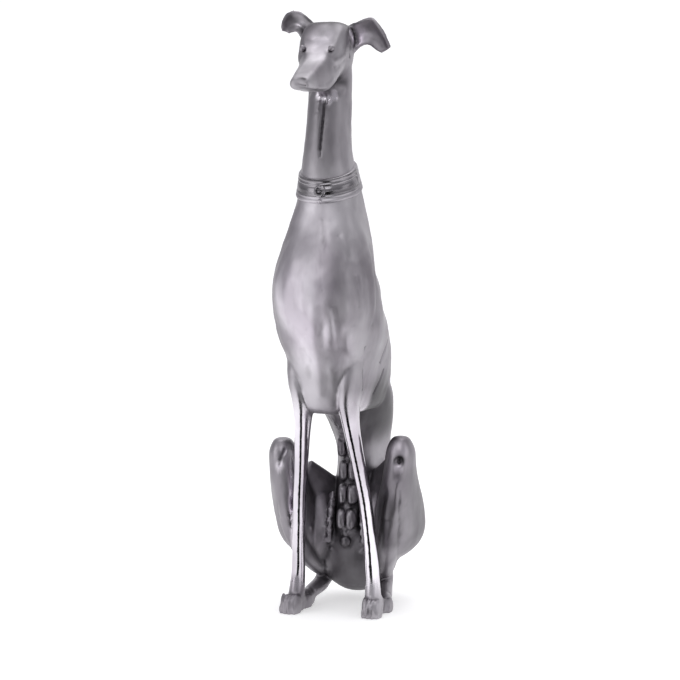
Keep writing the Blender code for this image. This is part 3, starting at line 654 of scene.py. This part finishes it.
def carve(obj):
    """Every stroke of the fine carving, then the rough strips and the casting's soft waves."""
    points, outward = coordinates(obj), normals(obj)
    lift = np.zeros(len(points))

    def cut(path, radius, depth):
        np.subtract(lift, depth * np.exp(-(distance_to(points, path) / radius) ** 2), out=lift)

    for path, radius, depth in BOTH:
        cut(path, radius, depth)
        cut(mirrored(path), radius, depth)
    for path, radius, depth in MIDDLE + (KNEE_STREAK, SHIN_STREAK):
        cut(path, radius, depth)
    cut((KNEE_DIMPLE[0],), KNEE_DIMPLE[1], KNEE_DIMPLE[2])
    for side in (-1, 1):
        away = np.linalg.norm(points - np.array((side * EYE[0], EYE[1] - SOCKET_AHEAD, EYE[2])), axis=1)
        lift -= SOCKET[0] * np.exp(-(away / SOCKET[1]) ** 2)
        lift += SOCKET_RIM[0] * np.exp(-((away - SOCKET_RIM[1]) / SOCKET_RIM[2]) ** 2)
    (y0, z0), (y1, z1) = THROAT
    along = np.clip((z0 - points[:, 2]) / (z0 - z1), 0, 1)
    width = THROAT_WIDTH * (THROAT_TAPER[0] - THROAT_TAPER[1] * along)
    away = distance_to(points, ((THROAT_X, y0, z0), (THROAT_X, y1, z1)))
    rough = soft_noise(points, THROAT_GRAIN, 3)
    lift -= THROAT_DEPTH * (1 - 0.5 * along) * np.exp(-(away / width) ** 2) * (1 + 0.5 * rough)
    lift += THROAT_BORDER * (1 - along) * np.exp(-(away / (3.5 * width)) ** 2) * rough
    front = np.clip((3.4 - points[:, 1]) / 0.6, 0, 1)
    for height in LUMPS:
        for side in (-1, 1):
            over = np.abs(points[:, 0] - LUMP_X - side * LUMP_GAP) / LUMP_HALF[0]
            up = np.abs(points[:, 2] - height) / LUMP_HALF[1]
            lift += LUMP_LIFT * front * np.exp(-(over ** 4 + up ** 6))
    for path, radius, depth, size in STRIPS:
        close = np.exp(-(distance_to(points, path) / radius) ** 4)
        lift += depth * close * (soft_noise(points, size, 5) + 0.5)
    inner = np.exp(-(np.maximum(0, points[:, 2] - BELLY_HEIGHT) / 2.0) ** 2)
    inner = inner * np.clip(1 - np.abs(points[:, 0]) / 5.5, 0, 1)
    lift += INNER_WAVES * inner * soft_noise(points, 1.3, 9)
    chest = np.exp(-((points[:, 2] - CHEST_MIDDLE_Z) / CHEST_REACH) ** 2)
    stretched = points * np.array((1.0, 1.0, 0.28))
    lift += CHEST_WAVES * chest * soft_noise(stretched, 1.5, 1)
    lift += CHEST_DENTS * np.clip((points[:, 2] - BELLY_HEIGHT) / 4, 0, 1) * soft_noise(points, 1.1, 4)
    lift += WIDE_WAVES * soft_noise(points, 2.4, 2)
    points = points + outward * lift[:, None]
    for centre, facing, reach in PLANES:
        facing = np.array(facing) / np.linalg.norm(facing)
        over = (points - centre) @ facing
        share = np.clip(1.6 - np.linalg.norm(points - centre, axis=1) / reach, 0, 1)
        points = points - facing * (np.maximum(over, 0) * share)[:, None]
    set_coordinates(obj, points)


def neck_at(z):
    """Front, back and half width of the neck at a height or heights."""
    rows = through(TRUNK, 24)[::-1]
    return [np.interp(z, rows[:, 0], rows[:, k]) for k in (1, 2, 3)]


def collar_ring(share, proud):
    """One closed line round the neck, at a share of the band's width."""
    ring = []
    for k in range(COLLAR_SEGMENTS):
        a = 2 * math.pi * k / COLLAR_SEGMENTS
        c, s = math.cos(a), math.sin(a)
        z = (COLLAR_FRONT_Z + COLLAR_BACK_Z) / 2 + s * (COLLAR_BACK_Z - COLLAR_FRONT_Z) / 2
        z += (share - 0.5) * COLLAR_BAND
        front, back, half = neck_at(z)
        ring.append(((half + proud) * c, (front + back) / 2 + ((back - front) / 2 + proud) * s, z))
    return ring


def collar(name):
    """Band with two lines at each border, standing out from the neck."""
    return loft(name, [collar_ring(share, COLLAR_PROUD * proud) for share, proud in COLLAR_PROFILE])


def buckle():
    """Ring with a stud in it on the collar's front, and one stud below."""
    z = COLLAR_FRONT_Z
    face = neck_at(z)[0] - COLLAR_PROUD
    rings = []
    for k in range(BUCKLE_SEGMENTS):
        a = 2 * math.pi * k / BUCKLE_SEGMENTS
        across, up = BUCKLE_RING * math.cos(a), BUCKLE_RING * math.sin(a)
        ring = []
        for j in range(WIRE_SEGMENTS):
            b = 2 * math.pi * j / WIRE_SEGMENTS
            grow = 1 + BUCKLE_WIRE / BUCKLE_RING * math.cos(b)
            y = face - BUCKLE_WIRE * math.sin(b) + up * grow * BUCKLE_LEAN
            ring.append((BUCKLE_X + across * grow, y, z + up * grow))
        rings.append(ring)
    radii = (BUCKLE_STUD, BUCKLE_HEIGHT, BUCKLE_STUD)
    low = z - LOW_STUD_DROP * COLLAR_BAND
    return [
        loft("buckle", rings, endless=True),
        ball("stud", (BUCKLE_X, face, z), radii, segments=12),
        ball("stud", (BUCKLE_X, face, low), radii, segments=12),
    ]


def decimated(obj, triangles):
    faces = len(obj.data.polygons) * 2
    less = obj.modifiers.new("less", "DECIMATE")
    less.ratio = min(1.0, triangles / faces)
    return evaluated_copy(obj.name, obj)


def flat_soles(obj):
    """Everything under the ground plane is cut away, which leaves flat soles."""
    bm = bmesh.new()
    bm.from_mesh(obj.data)
    whole = bm.verts[:] + bm.edges[:] + bm.faces[:]
    cut = bmesh.ops.bisect_plane(bm, geom=whole, dist=1e-6, plane_co=(0, 0, 0), plane_no=(0, 0, -1),
                                 clear_outer=True)
    edges = [e for e in cut["geom_cut"] if isinstance(e, bmesh.types.BMEdge)]
    bmesh.ops.holes_fill(bm, edges=edges, sides=0)
    bmesh.ops.triangulate(bm, faces=bm.faces[:])
    bmesh.ops.recalc_face_normals(bm, faces=bm.faces)
    bm.to_mesh(obj.data)
    bm.free()


def hind_leg(side):
    """Thigh, shin, foot and paw of one side, placed as the hips are turned."""
    pieces = [haunch("haunch", side)]
    for name, path in (("shin", SHIN), ("web", WEB), ("foot", FOOT)):
        pieces.append(rod(name, path, side))
    for centre, radii in (GROIN, RUMP):
        pieces.append(ball("muscle", (side * centre[0], *centre[1:]), radii))
    pieces += paw("hind_paw", HIND_PAW, side)
    axis = Matrix.Translation((0.0, HIP_AXIS_Y * U, 0.0))
    turn = axis @ Matrix.Rotation(math.radians(HIP_TURN), 4, "Z") @ axis.inverted()
    rise = Matrix.Diagonal((1.0, 1.0, 1.0 + side * KNEE_RISE, 1.0))
    for piece in pieces:
        piece.matrix_world = turn @ rise
    return pieces


def belly_front(z):
    """Y of the belly's ridge at a height."""
    rows = through(LOIN)[::-1]
    return float(np.interp(z, rows[:, 0], rows[:, 1]))


def belly_relief():
    """Paired lumps down the belly's ridge, a knob under them, and a beaded strip on either side."""
    knob_z, *knob_radii = BELLY_KNOB
    pieces = [ball("knob", (0.0, belly_front(knob_z), knob_z), knob_radii)]
    for side in (-1, 1):
        for k in range(BELLY_LUMPS):
            z = BELLY_TOP_Z - k * BELLY_STEP
            pieces.append(ball("lump", (side * BELLY_HALF, belly_front(z), z), BELLY_LUMP))
        for k in range(STRIP_BEADS):
            z = STRIP_TOP_Z - k * STRIP_STEP
            place = (side * (STRIP_HALF + STRIP_WIDENING * k), belly_front(z) + STRIP_BACK, z)
            pieces.append(ball("bead", place, STRIP_BEAD))
    return pieces


def body_pieces():
    pieces = [
        upright_loft("trunk", TRUNK),
        upright_loft("loin", LOIN, narrowing=0.45),
        head_loft("head", HEAD),
        ear("left_ear", LEFT_EAR_TOP, LEFT_EAR_LOW, LEFT_EAR_CUP),
        ear("right_ear", RIGHT_EAR_TOP, RIGHT_EAR_LOW, RIGHT_EAR_CUP),
        rod("tail", [(0.0, y, z, r, r) for y, z, r in TAIL]),
        ball("lap", *LAP),
    ]
    pieces += belly_relief()
    for side in (-1, 1):
        pieces.append(limb("foreleg", FORELEG, side))
        pieces.append(ball("shoulder", (side * SHOULDER[0][0], *SHOULDER[0][1:]), SHOULDER[1]))
        pieces += paw("fore_paw", FORE_PAW, side, stance(side, 0.0))
        pieces += hind_leg(side)
    return pieces


# Beside the collar's band no painted shade is laid, since its edge hides skin: shares of the band's width
COLLAR_SIDE = 0.35
COLLAR_EDGE = 0.03
# Most that a point there counts as closed in
OPEN_RECESS = 0.25
# Rays start this far off the skin, in metres
RAY_START = 0.0006


def recess(obj, rays=14, reach=9.0):
    """Share of the sky that each point of the skin doesn't see: 0 open, 1 closed in; the metal paints shade
    by it.
    """
    bm = bmesh.new()
    bm.from_mesh(obj.data)
    tree = BVHTree.FromBMesh(bm)
    bm.free()
    points, outward = coordinates(obj) * U, normals(obj)
    golden = math.pi * (3 - math.sqrt(5))
    cone = []
    for k in range(rays):
        z = 1 - (k + 0.5) / rays * 0.9
        r = math.sqrt(1 - z * z)
        cone.append((r * math.cos(golden * k), r * math.sin(golden * k), z))
    closed = np.zeros(len(points))
    for i, (p, n) in enumerate(zip(points, outward)):
        up = Vector(n)
        turn = up.to_track_quat("Z", "Y")
        start = Vector(p) + up * RAY_START
        hits = 0.0
        for direction in cone:
            found = tree.ray_cast(start, turn @ Vector(direction), reach * U)
            if found[0] is not None:
                hits += 1.0 - 0.5 * found[3] / (reach * U)
        closed[i] = hits / rays
    share = collar_share(points / U)
    beside = (share > -COLLAR_SIDE) & (share < 1 + COLLAR_SIDE)
    return np.where(beside, np.minimum(closed, OPEN_RECESS), closed)


def write_attribute(obj, name, values):
    layer = obj.data.attributes.new(name, "FLOAT", "POINT")
    layer.data.foreach_set("value", np.asarray(values, np.float32))


def fit(obj):
    """Scale to the node's box."""
    points = coordinates(obj) * U
    low, high = points.min(0), points.max(0)
    points = NODE_LOW + (points - low) * (NODE_HIGH - NODE_LOW) / (high - low)
    set_coordinates(obj, points / U)


def relief(obj, rounds=14):
    """How far each point stands out from its smoothed surroundings, in U: crests above 0; the metal paints
    highlights on crests and shade in grooves by it.
    """
    points, outward = coordinates(obj), normals(obj)
    edges = np.empty(len(obj.data.edges) * 2, int)
    obj.data.edges.foreach_get("vertices", edges)
    a, b = edges.reshape(-1, 2).T
    count = np.bincount(np.r_[a, b], minlength=len(points))[:, None] + 1e-9
    soft = points.copy()
    for _ in range(rounds):
        total = np.zeros_like(soft)
        for axis in range(3):
            total[:, axis] = np.bincount(a, soft[b, axis], len(points))
            total[:, axis] += np.bincount(b, soft[a, axis], len(points))
        soft = 0.5 * soft + 0.5 * total / count
    share = collar_share(points)
    above = (share > 1 - COLLAR_EDGE) & (share < 1 + COLLAR_SIDE)
    below = (share > -COLLAR_SIDE) & (share < COLLAR_EDGE)
    return np.where(above | below, 0.0, np.einsum("ij,ij->i", points - soft, outward))


def near(points, path, radius, power=2):
    return np.exp(-(distance_to(points, path) / radius) ** power)


def collar_share(points):
    """How far across the collar's band a point is: 0 at the lower border, 1 at the upper."""
    front, back, _ = neck_at(points[:, 2])
    along = np.clip((points[:, 1] - (front + back) / 2) / ((back - front) / 2), -1, 1)
    middle = (COLLAR_FRONT_Z + COLLAR_BACK_Z) / 2 + along * (COLLAR_BACK_Z - COLLAR_FRONT_Z) / 2
    return (points[:, 2] - middle) / COLLAR_BAND + 0.5


# Limits of the forelegs' mirror, each with the width over which it fades: top, inside, and by two
# heights the back and the outside; at the foot also the least share
LEG_TOP = (27.0, 4.0)
LEG_INSIDE = (1.7, 0.5)
LEG_HEIGHTS = (6.0, 9.0)
LEG_BACK = ((0.6, -0.9), 0.6)
LEG_OUTSIDE = ((6.2, 5.5), 0.3)
LEG_FOOT = (1.8, 3.2, 0.1)


def on_legs(points):
    """1 on the forelegs below the elbow, fading out above it and at the paws."""
    x, y, z = np.abs(points[:, 0]), points[:, 1], points[:, 2]
    share = np.clip((LEG_TOP[0] - z) / LEG_TOP[1], 0, 1) * np.clip((x - LEG_INSIDE[0]) / LEG_INSIDE[1], 0, 1)
    share *= np.clip((np.interp(z, LEG_HEIGHTS, LEG_BACK[0]) - y) / LEG_BACK[1], 0, 1)
    share *= np.clip((np.interp(z, LEG_HEIGHTS, LEG_OUTSIDE[0]) - x) / LEG_OUTSIDE[1], 0, 1)
    return share * np.clip((z - LEG_FOOT[0]) / LEG_FOOT[1], LEG_FOOT[2], 1)


# The collar stands out from the neck's oval by more than this share; the second is the fade
COLLAR_RISE = (1.03, 0.02)


def on_collar(points):
    """1 on the collar's band, 0 on the neck and on the skin under the band."""
    front, back, half = neck_at(points[:, 2])
    across, along = points[:, 0] / half, (points[:, 1] - (front + back) / 2) / ((back - front) / 2)
    proud = np.clip((np.hypot(across, along) - COLLAR_RISE[0]) / COLLAR_RISE[1], 0, 1)
    return proud * np.clip((0.50 - np.abs(collar_share(points) - 0.5)) / 0.03, 0, 1)


def polish(obj):
    """1 where the buffing wheel left a mirror: forelegs, collar, knees, throat."""
    points = coordinates(obj)
    spots = [share * near(points, path, radius) for path, radius, share in BUFFED]
    return np.maximum.reduce([on_legs(points), COLLAR_POLISH * on_collar(points)] + spots)


def painted_light_gain(obj):
    """Painted light and shade by region, as a gain on the plain satin's colour."""
    points = coordinates(obj)
    legs, band = on_legs(points), on_collar(points)
    total, gain = legs + band, legs * LEG_PAINTED_LIGHT + band * COLLAR_PAINTED_LIGHT
    other_side = tuple((mirrored(path), radius, value) for path, radius, value in PAINTED_LIGHT_BOTH_SIDES)
    for path, radius, value in PAINTED_LIGHT_BY_REGION + PAINTED_LIGHT_BOTH_SIDES + other_side:
        share = near(points, path, radius, 4) * (1 - np.maximum(legs, band))
        total, gain = total + share, gain + share * value
    return (gain + np.maximum(0, 1 - total)) / np.maximum(1, total)


def painted_shade_and_patina(obj):
    """Painted shade in named hollows and creases and over the lap, painted dark reflections at the knees, and
    dark lines along the collar's lines.
    """
    points = coordinates(obj)
    x, y, z = np.abs(points[:, 0]), points[:, 1], points[:, 2]
    # painted shade over the lap: below the chest, between the haunches
    total = LAP_PAINTED_SHADE * np.clip((27.0 - z) / 1.5, 0, 1) * np.clip((6.0 - x) / 1.2, 0, 1)
    total *= np.clip((y - 0.2) / 0.8, 0, 1) * np.clip((7.5 - y) / 2.0, 0, 1)
    for path, radius, share in PAINTED_SHADE_BOTH_SIDES:
        total = np.maximum(total, share * near(points, path, radius))
        total = np.maximum(total, share * near(points, mirrored(path), radius))
    for path, radius, share in PAINTED_SHADE_AND_PATINA_ONCE:
        total = np.maximum(total, share * near(points, path, radius))
    share, band = collar_share(points), on_collar(points)
    for line in COLLAR_LINES:
        total = np.maximum(total, band * np.exp(-((share - line) / LINE_WIDTH) ** 2))
    return total


def node(tree, kind, **settings):
    made = tree.nodes.new("ShaderNode" + kind)
    for name, value in settings.items():
        setattr(made, name, value)
    return made


def ranged(tree, value, low, high, to_low, to_high):
    made = node(tree, "MapRange")
    made.inputs["From Min"].default_value = low
    made.inputs["From Max"].default_value = high
    made.inputs["To Min"].default_value = to_low
    made.inputs["To Max"].default_value = to_high
    tree.links.new(value, made.inputs["Value"])
    return made.outputs["Result"]


def maths(tree, operation, first, second):
    made = node(tree, "Math", operation=operation)
    for socket, value in zip(made.inputs, (first, second)):
        if isinstance(value, float):
            socket.default_value = value
        else:
            tree.links.new(value, socket)
    return made.outputs["Value"]


def attribute(tree, name):
    return node(tree, "Attribute", attribute_name=name).outputs["Fac"]


def cast_noise(tree, scale, detail, roughness=0.5, stretch=1.0):
    """Noise fixed to the casting; stretch below 1 draws it out downwards."""
    place = node(tree, "TexCoord")
    mapping = node(tree, "Mapping")
    mapping.inputs["Scale"].default_value = (1.0, 1.0, stretch)
    tree.links.new(place.outputs["Object"], mapping.inputs["Vector"])
    made = node(tree, "TexNoise")
    made.inputs["Scale"].default_value = scale
    made.inputs["Detail"].default_value = detail
    made.inputs["Roughness"].default_value = roughness
    tree.links.new(mapping.outputs["Vector"], made.inputs["Vector"])
    return made.outputs["Fac"]


SATIN_METAL = (0.225, 0.208, 0.230, 1.0)
PALE_METAL = (0.385, 0.368, 0.392, 1.0)
# Colour that the painted shade and the dark marks blend the metal towards
DARK_METAL = (0.056, 0.052, 0.058, 1.0)
# Scales of the noises: clouds in the finish, smears, grain of the sand
CLOUD_SCALE = 38.0
SMEAR_SCALE = 20.0
GRAIN_SCALE = 420.0
# Smears are drawn out downwards by this share, like the strokes of a buffing wheel
STREAK_SHARE = 0.35
# Roughness of the satin where the clouds are thin and thick, what the buffing takes off, and the least
SATIN_ROUGHNESS = (0.40, 0.52)
BUFFING = 0.36
MIRROR_ROUGHNESS = 0.09
# How much painted shade a full buffing takes away
BUFFED_LIGHT = 0.5
# Height of the grain, in metres
GRAIN_HEIGHT = 0.0005


def blend(tree, share, first, second):
    """Colour between first and second; either may be a plain colour or an output."""
    made = node(tree, "Mix", data_type="RGBA")
    tree.links.new(share, made.inputs["Factor"])
    for socket, value in ((made.inputs[6], first), (made.inputs[7], second)):
        if isinstance(value, tuple):
            socket.default_value = value
        else:
            tree.links.new(value, socket)
    return made.outputs[2]


def metal():
    """Aluminium: satin on the body, mirror-bright where buffed, rough in the hollows; its colour carries
    painted shade in closed-in places and grooves, painted highlights on crests, dark marks, and a painted
    light-and-shade gain by region.
    """
    material = bpy.data.materials.new("polished_aluminium")
    material.use_nodes = True
    tree = material.node_tree
    links = tree.links
    shader = tree.nodes["Principled BSDF"]
    shader.inputs["Metallic"].default_value = 1.0
    closed, crest = attribute(tree, "recess"), attribute(tree, "relief")
    bright, shade_and_patina = attribute(tree, "polish"), attribute(tree, "painted_shade_and_patina")
    cloud = cast_noise(tree, CLOUD_SCALE, 5.0)
    smear = cast_noise(tree, SMEAR_SCALE, 4.0, stretch=STREAK_SHARE)
    grain = cast_noise(tree, GRAIN_SCALE, 4.0, 0.65)
    # painted shade, how dark: closed in or in a groove, broken up by clouds; crests get a painted highlight
    # and buffed places lose part of the painted shade
    groove = ranged(tree, crest, -0.09, 0.0, 0.55, 0.0)
    shade = maths(tree, "ADD", ranged(tree, closed, 0.25, 0.65, 0.0, 0.45), groove)
    shade = maths(tree, "ADD", shade, ranged(tree, cloud, 0.36, 0.66, -0.10, 0.10))
    shade = maths(tree, "SUBTRACT", shade, ranged(tree, crest, 0.0, 0.07, 0.0, 0.45))
    shade = maths(tree, "SUBTRACT", shade, maths(tree, "MULTIPLY", bright, BUFFED_LIGHT))
    shade = maths(tree, "ADD", maths(tree, "MAXIMUM", shade, 0.0), shade_and_patina)
    # the painted light-and-shade gain by region scales the smeared satin colour
    satin_tone = node(tree, "VectorMath", operation="SCALE")
    smeared = blend(tree, ranged(tree, smear, 0.38, 0.62, 0.0, 1.0), SATIN_METAL, PALE_METAL)
    links.new(smeared, satin_tone.inputs[0])
    links.new(attribute(tree, "painted_light_gain"), satin_tone.inputs["Scale"])
    tone = blend(tree, ranged(tree, shade, 0.05, 0.95, 0.0, 1.0), satin_tone.outputs[0], DARK_METAL)
    links.new(tone, shader.inputs["Base Color"])
    satin = ranged(tree, cloud, 0.3, 0.7, *SATIN_ROUGHNESS)
    satin = maths(tree, "ADD", satin, maths(tree, "MULTIPLY", bright, -BUFFING))
    satin = maths(tree, "MAXIMUM", satin, MIRROR_ROUGHNESS)
    links.new(satin, shader.inputs["Roughness"])
    bump = node(tree, "Bump")
    bump.inputs["Distance"].default_value = GRAIN_HEIGHT
    rough = maths(tree, "MAXIMUM", closed, shade_and_patina)
    links.new(ranged(tree, rough, 0.25, 0.8, 0.03, 0.6), bump.inputs["Strength"])
    links.new(grain, bump.inputs["Height"])
    links.new(bump.outputs["Normal"], shader.inputs["Normal"])
    return material


def greyhound():
    """The whole casting, with the values that its metal reads written on its points."""
    obj = skinned("greyhound_casting", body_pieces(), VOXEL, SKIN_SMOOTHING)
    carve(obj)
    if len(obj.data.polygons) * 2 > SKIN_TRIANGLES:
        obj = decimated(obj, SKIN_TRIANGLES)
    extras = [collar("collar")] + buckle()
    for side in (-1, 1):
        extras.append(ball("eye", (side * EYE[0], EYE[1], EYE[2]), (EYE_RADIUS,) * 3, segments=EYE_SEGMENTS))
    obj = merged("greyhound_casting", [obj] + extras)
    flat_soles(obj)
    fit(obj)
    obj.data.shade_smooth()
    for name, work_out in (("recess", recess), ("relief", relief), ("polish", polish), ("painted_shade_and_patina", painted_shade_and_patina),
                           ("painted_light_gain", painted_light_gain)):
        write_attribute(obj, name, work_out(obj))
    obj.data.materials.clear()
    obj.data.materials.append(metal())
    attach(obj, "root")
    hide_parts("greyhound")
    return obj


# The studio: a pale floor that curves up behind, under soft boxes in a grey room
FLOOR_WHITE = (0.86, 0.86, 0.86, 1.0)
FLOOR_GLOW = 0.42
FLOOR_HALF_WIDTH = 5.0
FLOOR_FRONT = -4.0
FLOOR_BACK = 2.2
SWEEP_RADIUS = 1.2
SWEEP_STEPS = 12
WALL_TOP = 5.0
# Dark ground: distance ahead of the dog and half width there
DARK_GROUND = ((0.06, 0.035), (0.30, 0.115), (1.60, 0.70))
DARK_GROUND_LIFT = 0.0006
DARK_PAINT = (0.01, 0.01, 0.01, 1.0)


def plain_mesh(name, rows):
    """Sheet through two or more rows of points."""
    bm = bmesh.new()
    made = [[bm.verts.new(p) for p in row] for row in rows]
    for low, high in zip(made, made[1:]):
        for i in range(len(low) - 1):
            bm.faces.new((low[i], low[i + 1], high[i + 1], high[i]))
    obj = object_from(name, bm)
    obj.data.shade_smooth()
    return obj


def paint(obj, name, colour, glow):
    made = bpy.data.materials.new(name)
    made.use_nodes = True
    shader = made.node_tree.nodes["Principled BSDF"]
    shader.inputs["Base Color"].default_value = colour
    shader.inputs["Roughness"].default_value = 0.9
    shader.inputs["Specular IOR Level"].default_value = 0.1
    shader.inputs["Emission Color"].default_value = (1.0, 1.0, 1.0, 1.0)
    shader.inputs["Emission Strength"].default_value = glow
    obj.data.materials.append(made)


def studio():
    """Pale floor that sweeps up into a wall, and a dark ground that only reflections see."""
    profile = [(FLOOR_FRONT, 0.0), (FLOOR_BACK, 0.0)]
    for k in range(1, SWEEP_STEPS + 1):
        a = math.pi / 2 * k / SWEEP_STEPS
        profile.append((FLOOR_BACK + SWEEP_RADIUS * math.sin(a), SWEEP_RADIUS - SWEEP_RADIUS * math.cos(a)))
    profile.append((FLOOR_BACK + SWEEP_RADIUS, WALL_TOP))
    edges = (-FLOOR_HALF_WIDTH, FLOOR_HALF_WIDTH)
    floor = plain_mesh("studio_floor", [[(x, y, z) for y, z in profile] for x in edges])
    paint(floor, "studio_paint", FLOOR_WHITE, FLOOR_GLOW)
    # the dark ground draws the dark line down each leg
    turn = math.radians(CAMERA_TURN)
    ahead, across = Vector((math.sin(turn), -math.cos(turn), 0)), Vector((math.cos(turn), math.sin(turn), 0))
    rows = []
    for distance, half in DARK_GROUND:
        middle = ahead * distance + Vector((0, 0, DARK_GROUND_LIFT))
        rows.append([middle - across * half, middle + across * half])
    dark = plain_mesh("dark_ground", rows)
    paint(dark, "dark_paint", DARK_PAINT, 0.0)
    dark.visible_camera = False
    dark.visible_diffuse = False
    dark.visible_shadow = False


def softbox(name, place, target, size, power):
    data = bpy.data.lights.new(name, "AREA")
    data.shape = "RECTANGLE"
    data.size, data.size_y = size
    data.energy = power
    lamp = bpy.data.objects.new(name, data)
    bpy.context.scene.collection.objects.link(lamp)
    lamp.location = place
    lamp.rotation_euler = (Vector(target) - Vector(place)).to_track_quat("-Z", "Y").to_euler()
    lamp.visible_camera = False


def around(turn, distance, height):
    """A place round the dog, by its angle from straight ahead in degrees."""
    a = math.radians(turn)
    return (distance * math.sin(a), -distance * math.cos(a), height)


def lights():
    """A soft top, a high front and two broad sides in an even grey room."""
    softbox("top_box", (0.0, 0.3, 2.9), (0.0, 0.0, 0.35), (2.4, 2.4), 30)
    softbox("front_box", around(CAMERA_TURN - 14, 2.2, 2.2), (0.0, 0.0, 0.40), (1.5, 1.1), 9)
    softbox("left_box", around(CAMERA_TURN - 62, 1.6, 0.75), (0.0, 0.0, 0.50), (0.9, 1.4), 4.5)
    softbox("right_box", around(CAMERA_TURN + 66, 1.6, 0.75), (0.0, 0.0, 0.50), (0.8, 1.4), 2.5)
    world = bpy.data.worlds.new("studio_air")
    bpy.context.scene.world = world
    world.use_nodes = True
    air = world.node_tree.nodes["Background"]
    air.inputs["Color"].default_value = (0.50, 0.50, 0.52, 1.0)
    air.inputs["Strength"].default_value = 0.95


# The camera, as in the photograph: angle from straight ahead, and metres; lens and sensor in mm
CAMERA_TURN = 21.094
CAMERA_DISTANCE = 2.8
CAMERA_HEIGHT = 0.6387
CAMERA_AIM = (0.0016, 0.0, 0.3201)
CAMERA_LENS = 128.234
CAMERA_SENSOR = 36.0


def camera():
    data = bpy.data.cameras.new("camera")
    data.lens = CAMERA_LENS
    data.sensor_width = CAMERA_SENSOR
    view = bpy.data.objects.new("camera", data)
    bpy.context.scene.collection.objects.link(view)
    view.location = around(CAMERA_TURN, CAMERA_DISTANCE, CAMERA_HEIGHT)
    view.rotation_euler = (Vector(CAMERA_AIM) - view.location).to_track_quat("-Z", "Y").to_euler()
    bpy.context.scene.camera = view


def main():
    greyhound()
    studio()
    lights()
    camera()
    bpy.context.scene.view_settings.view_transform = "Standard"


main()
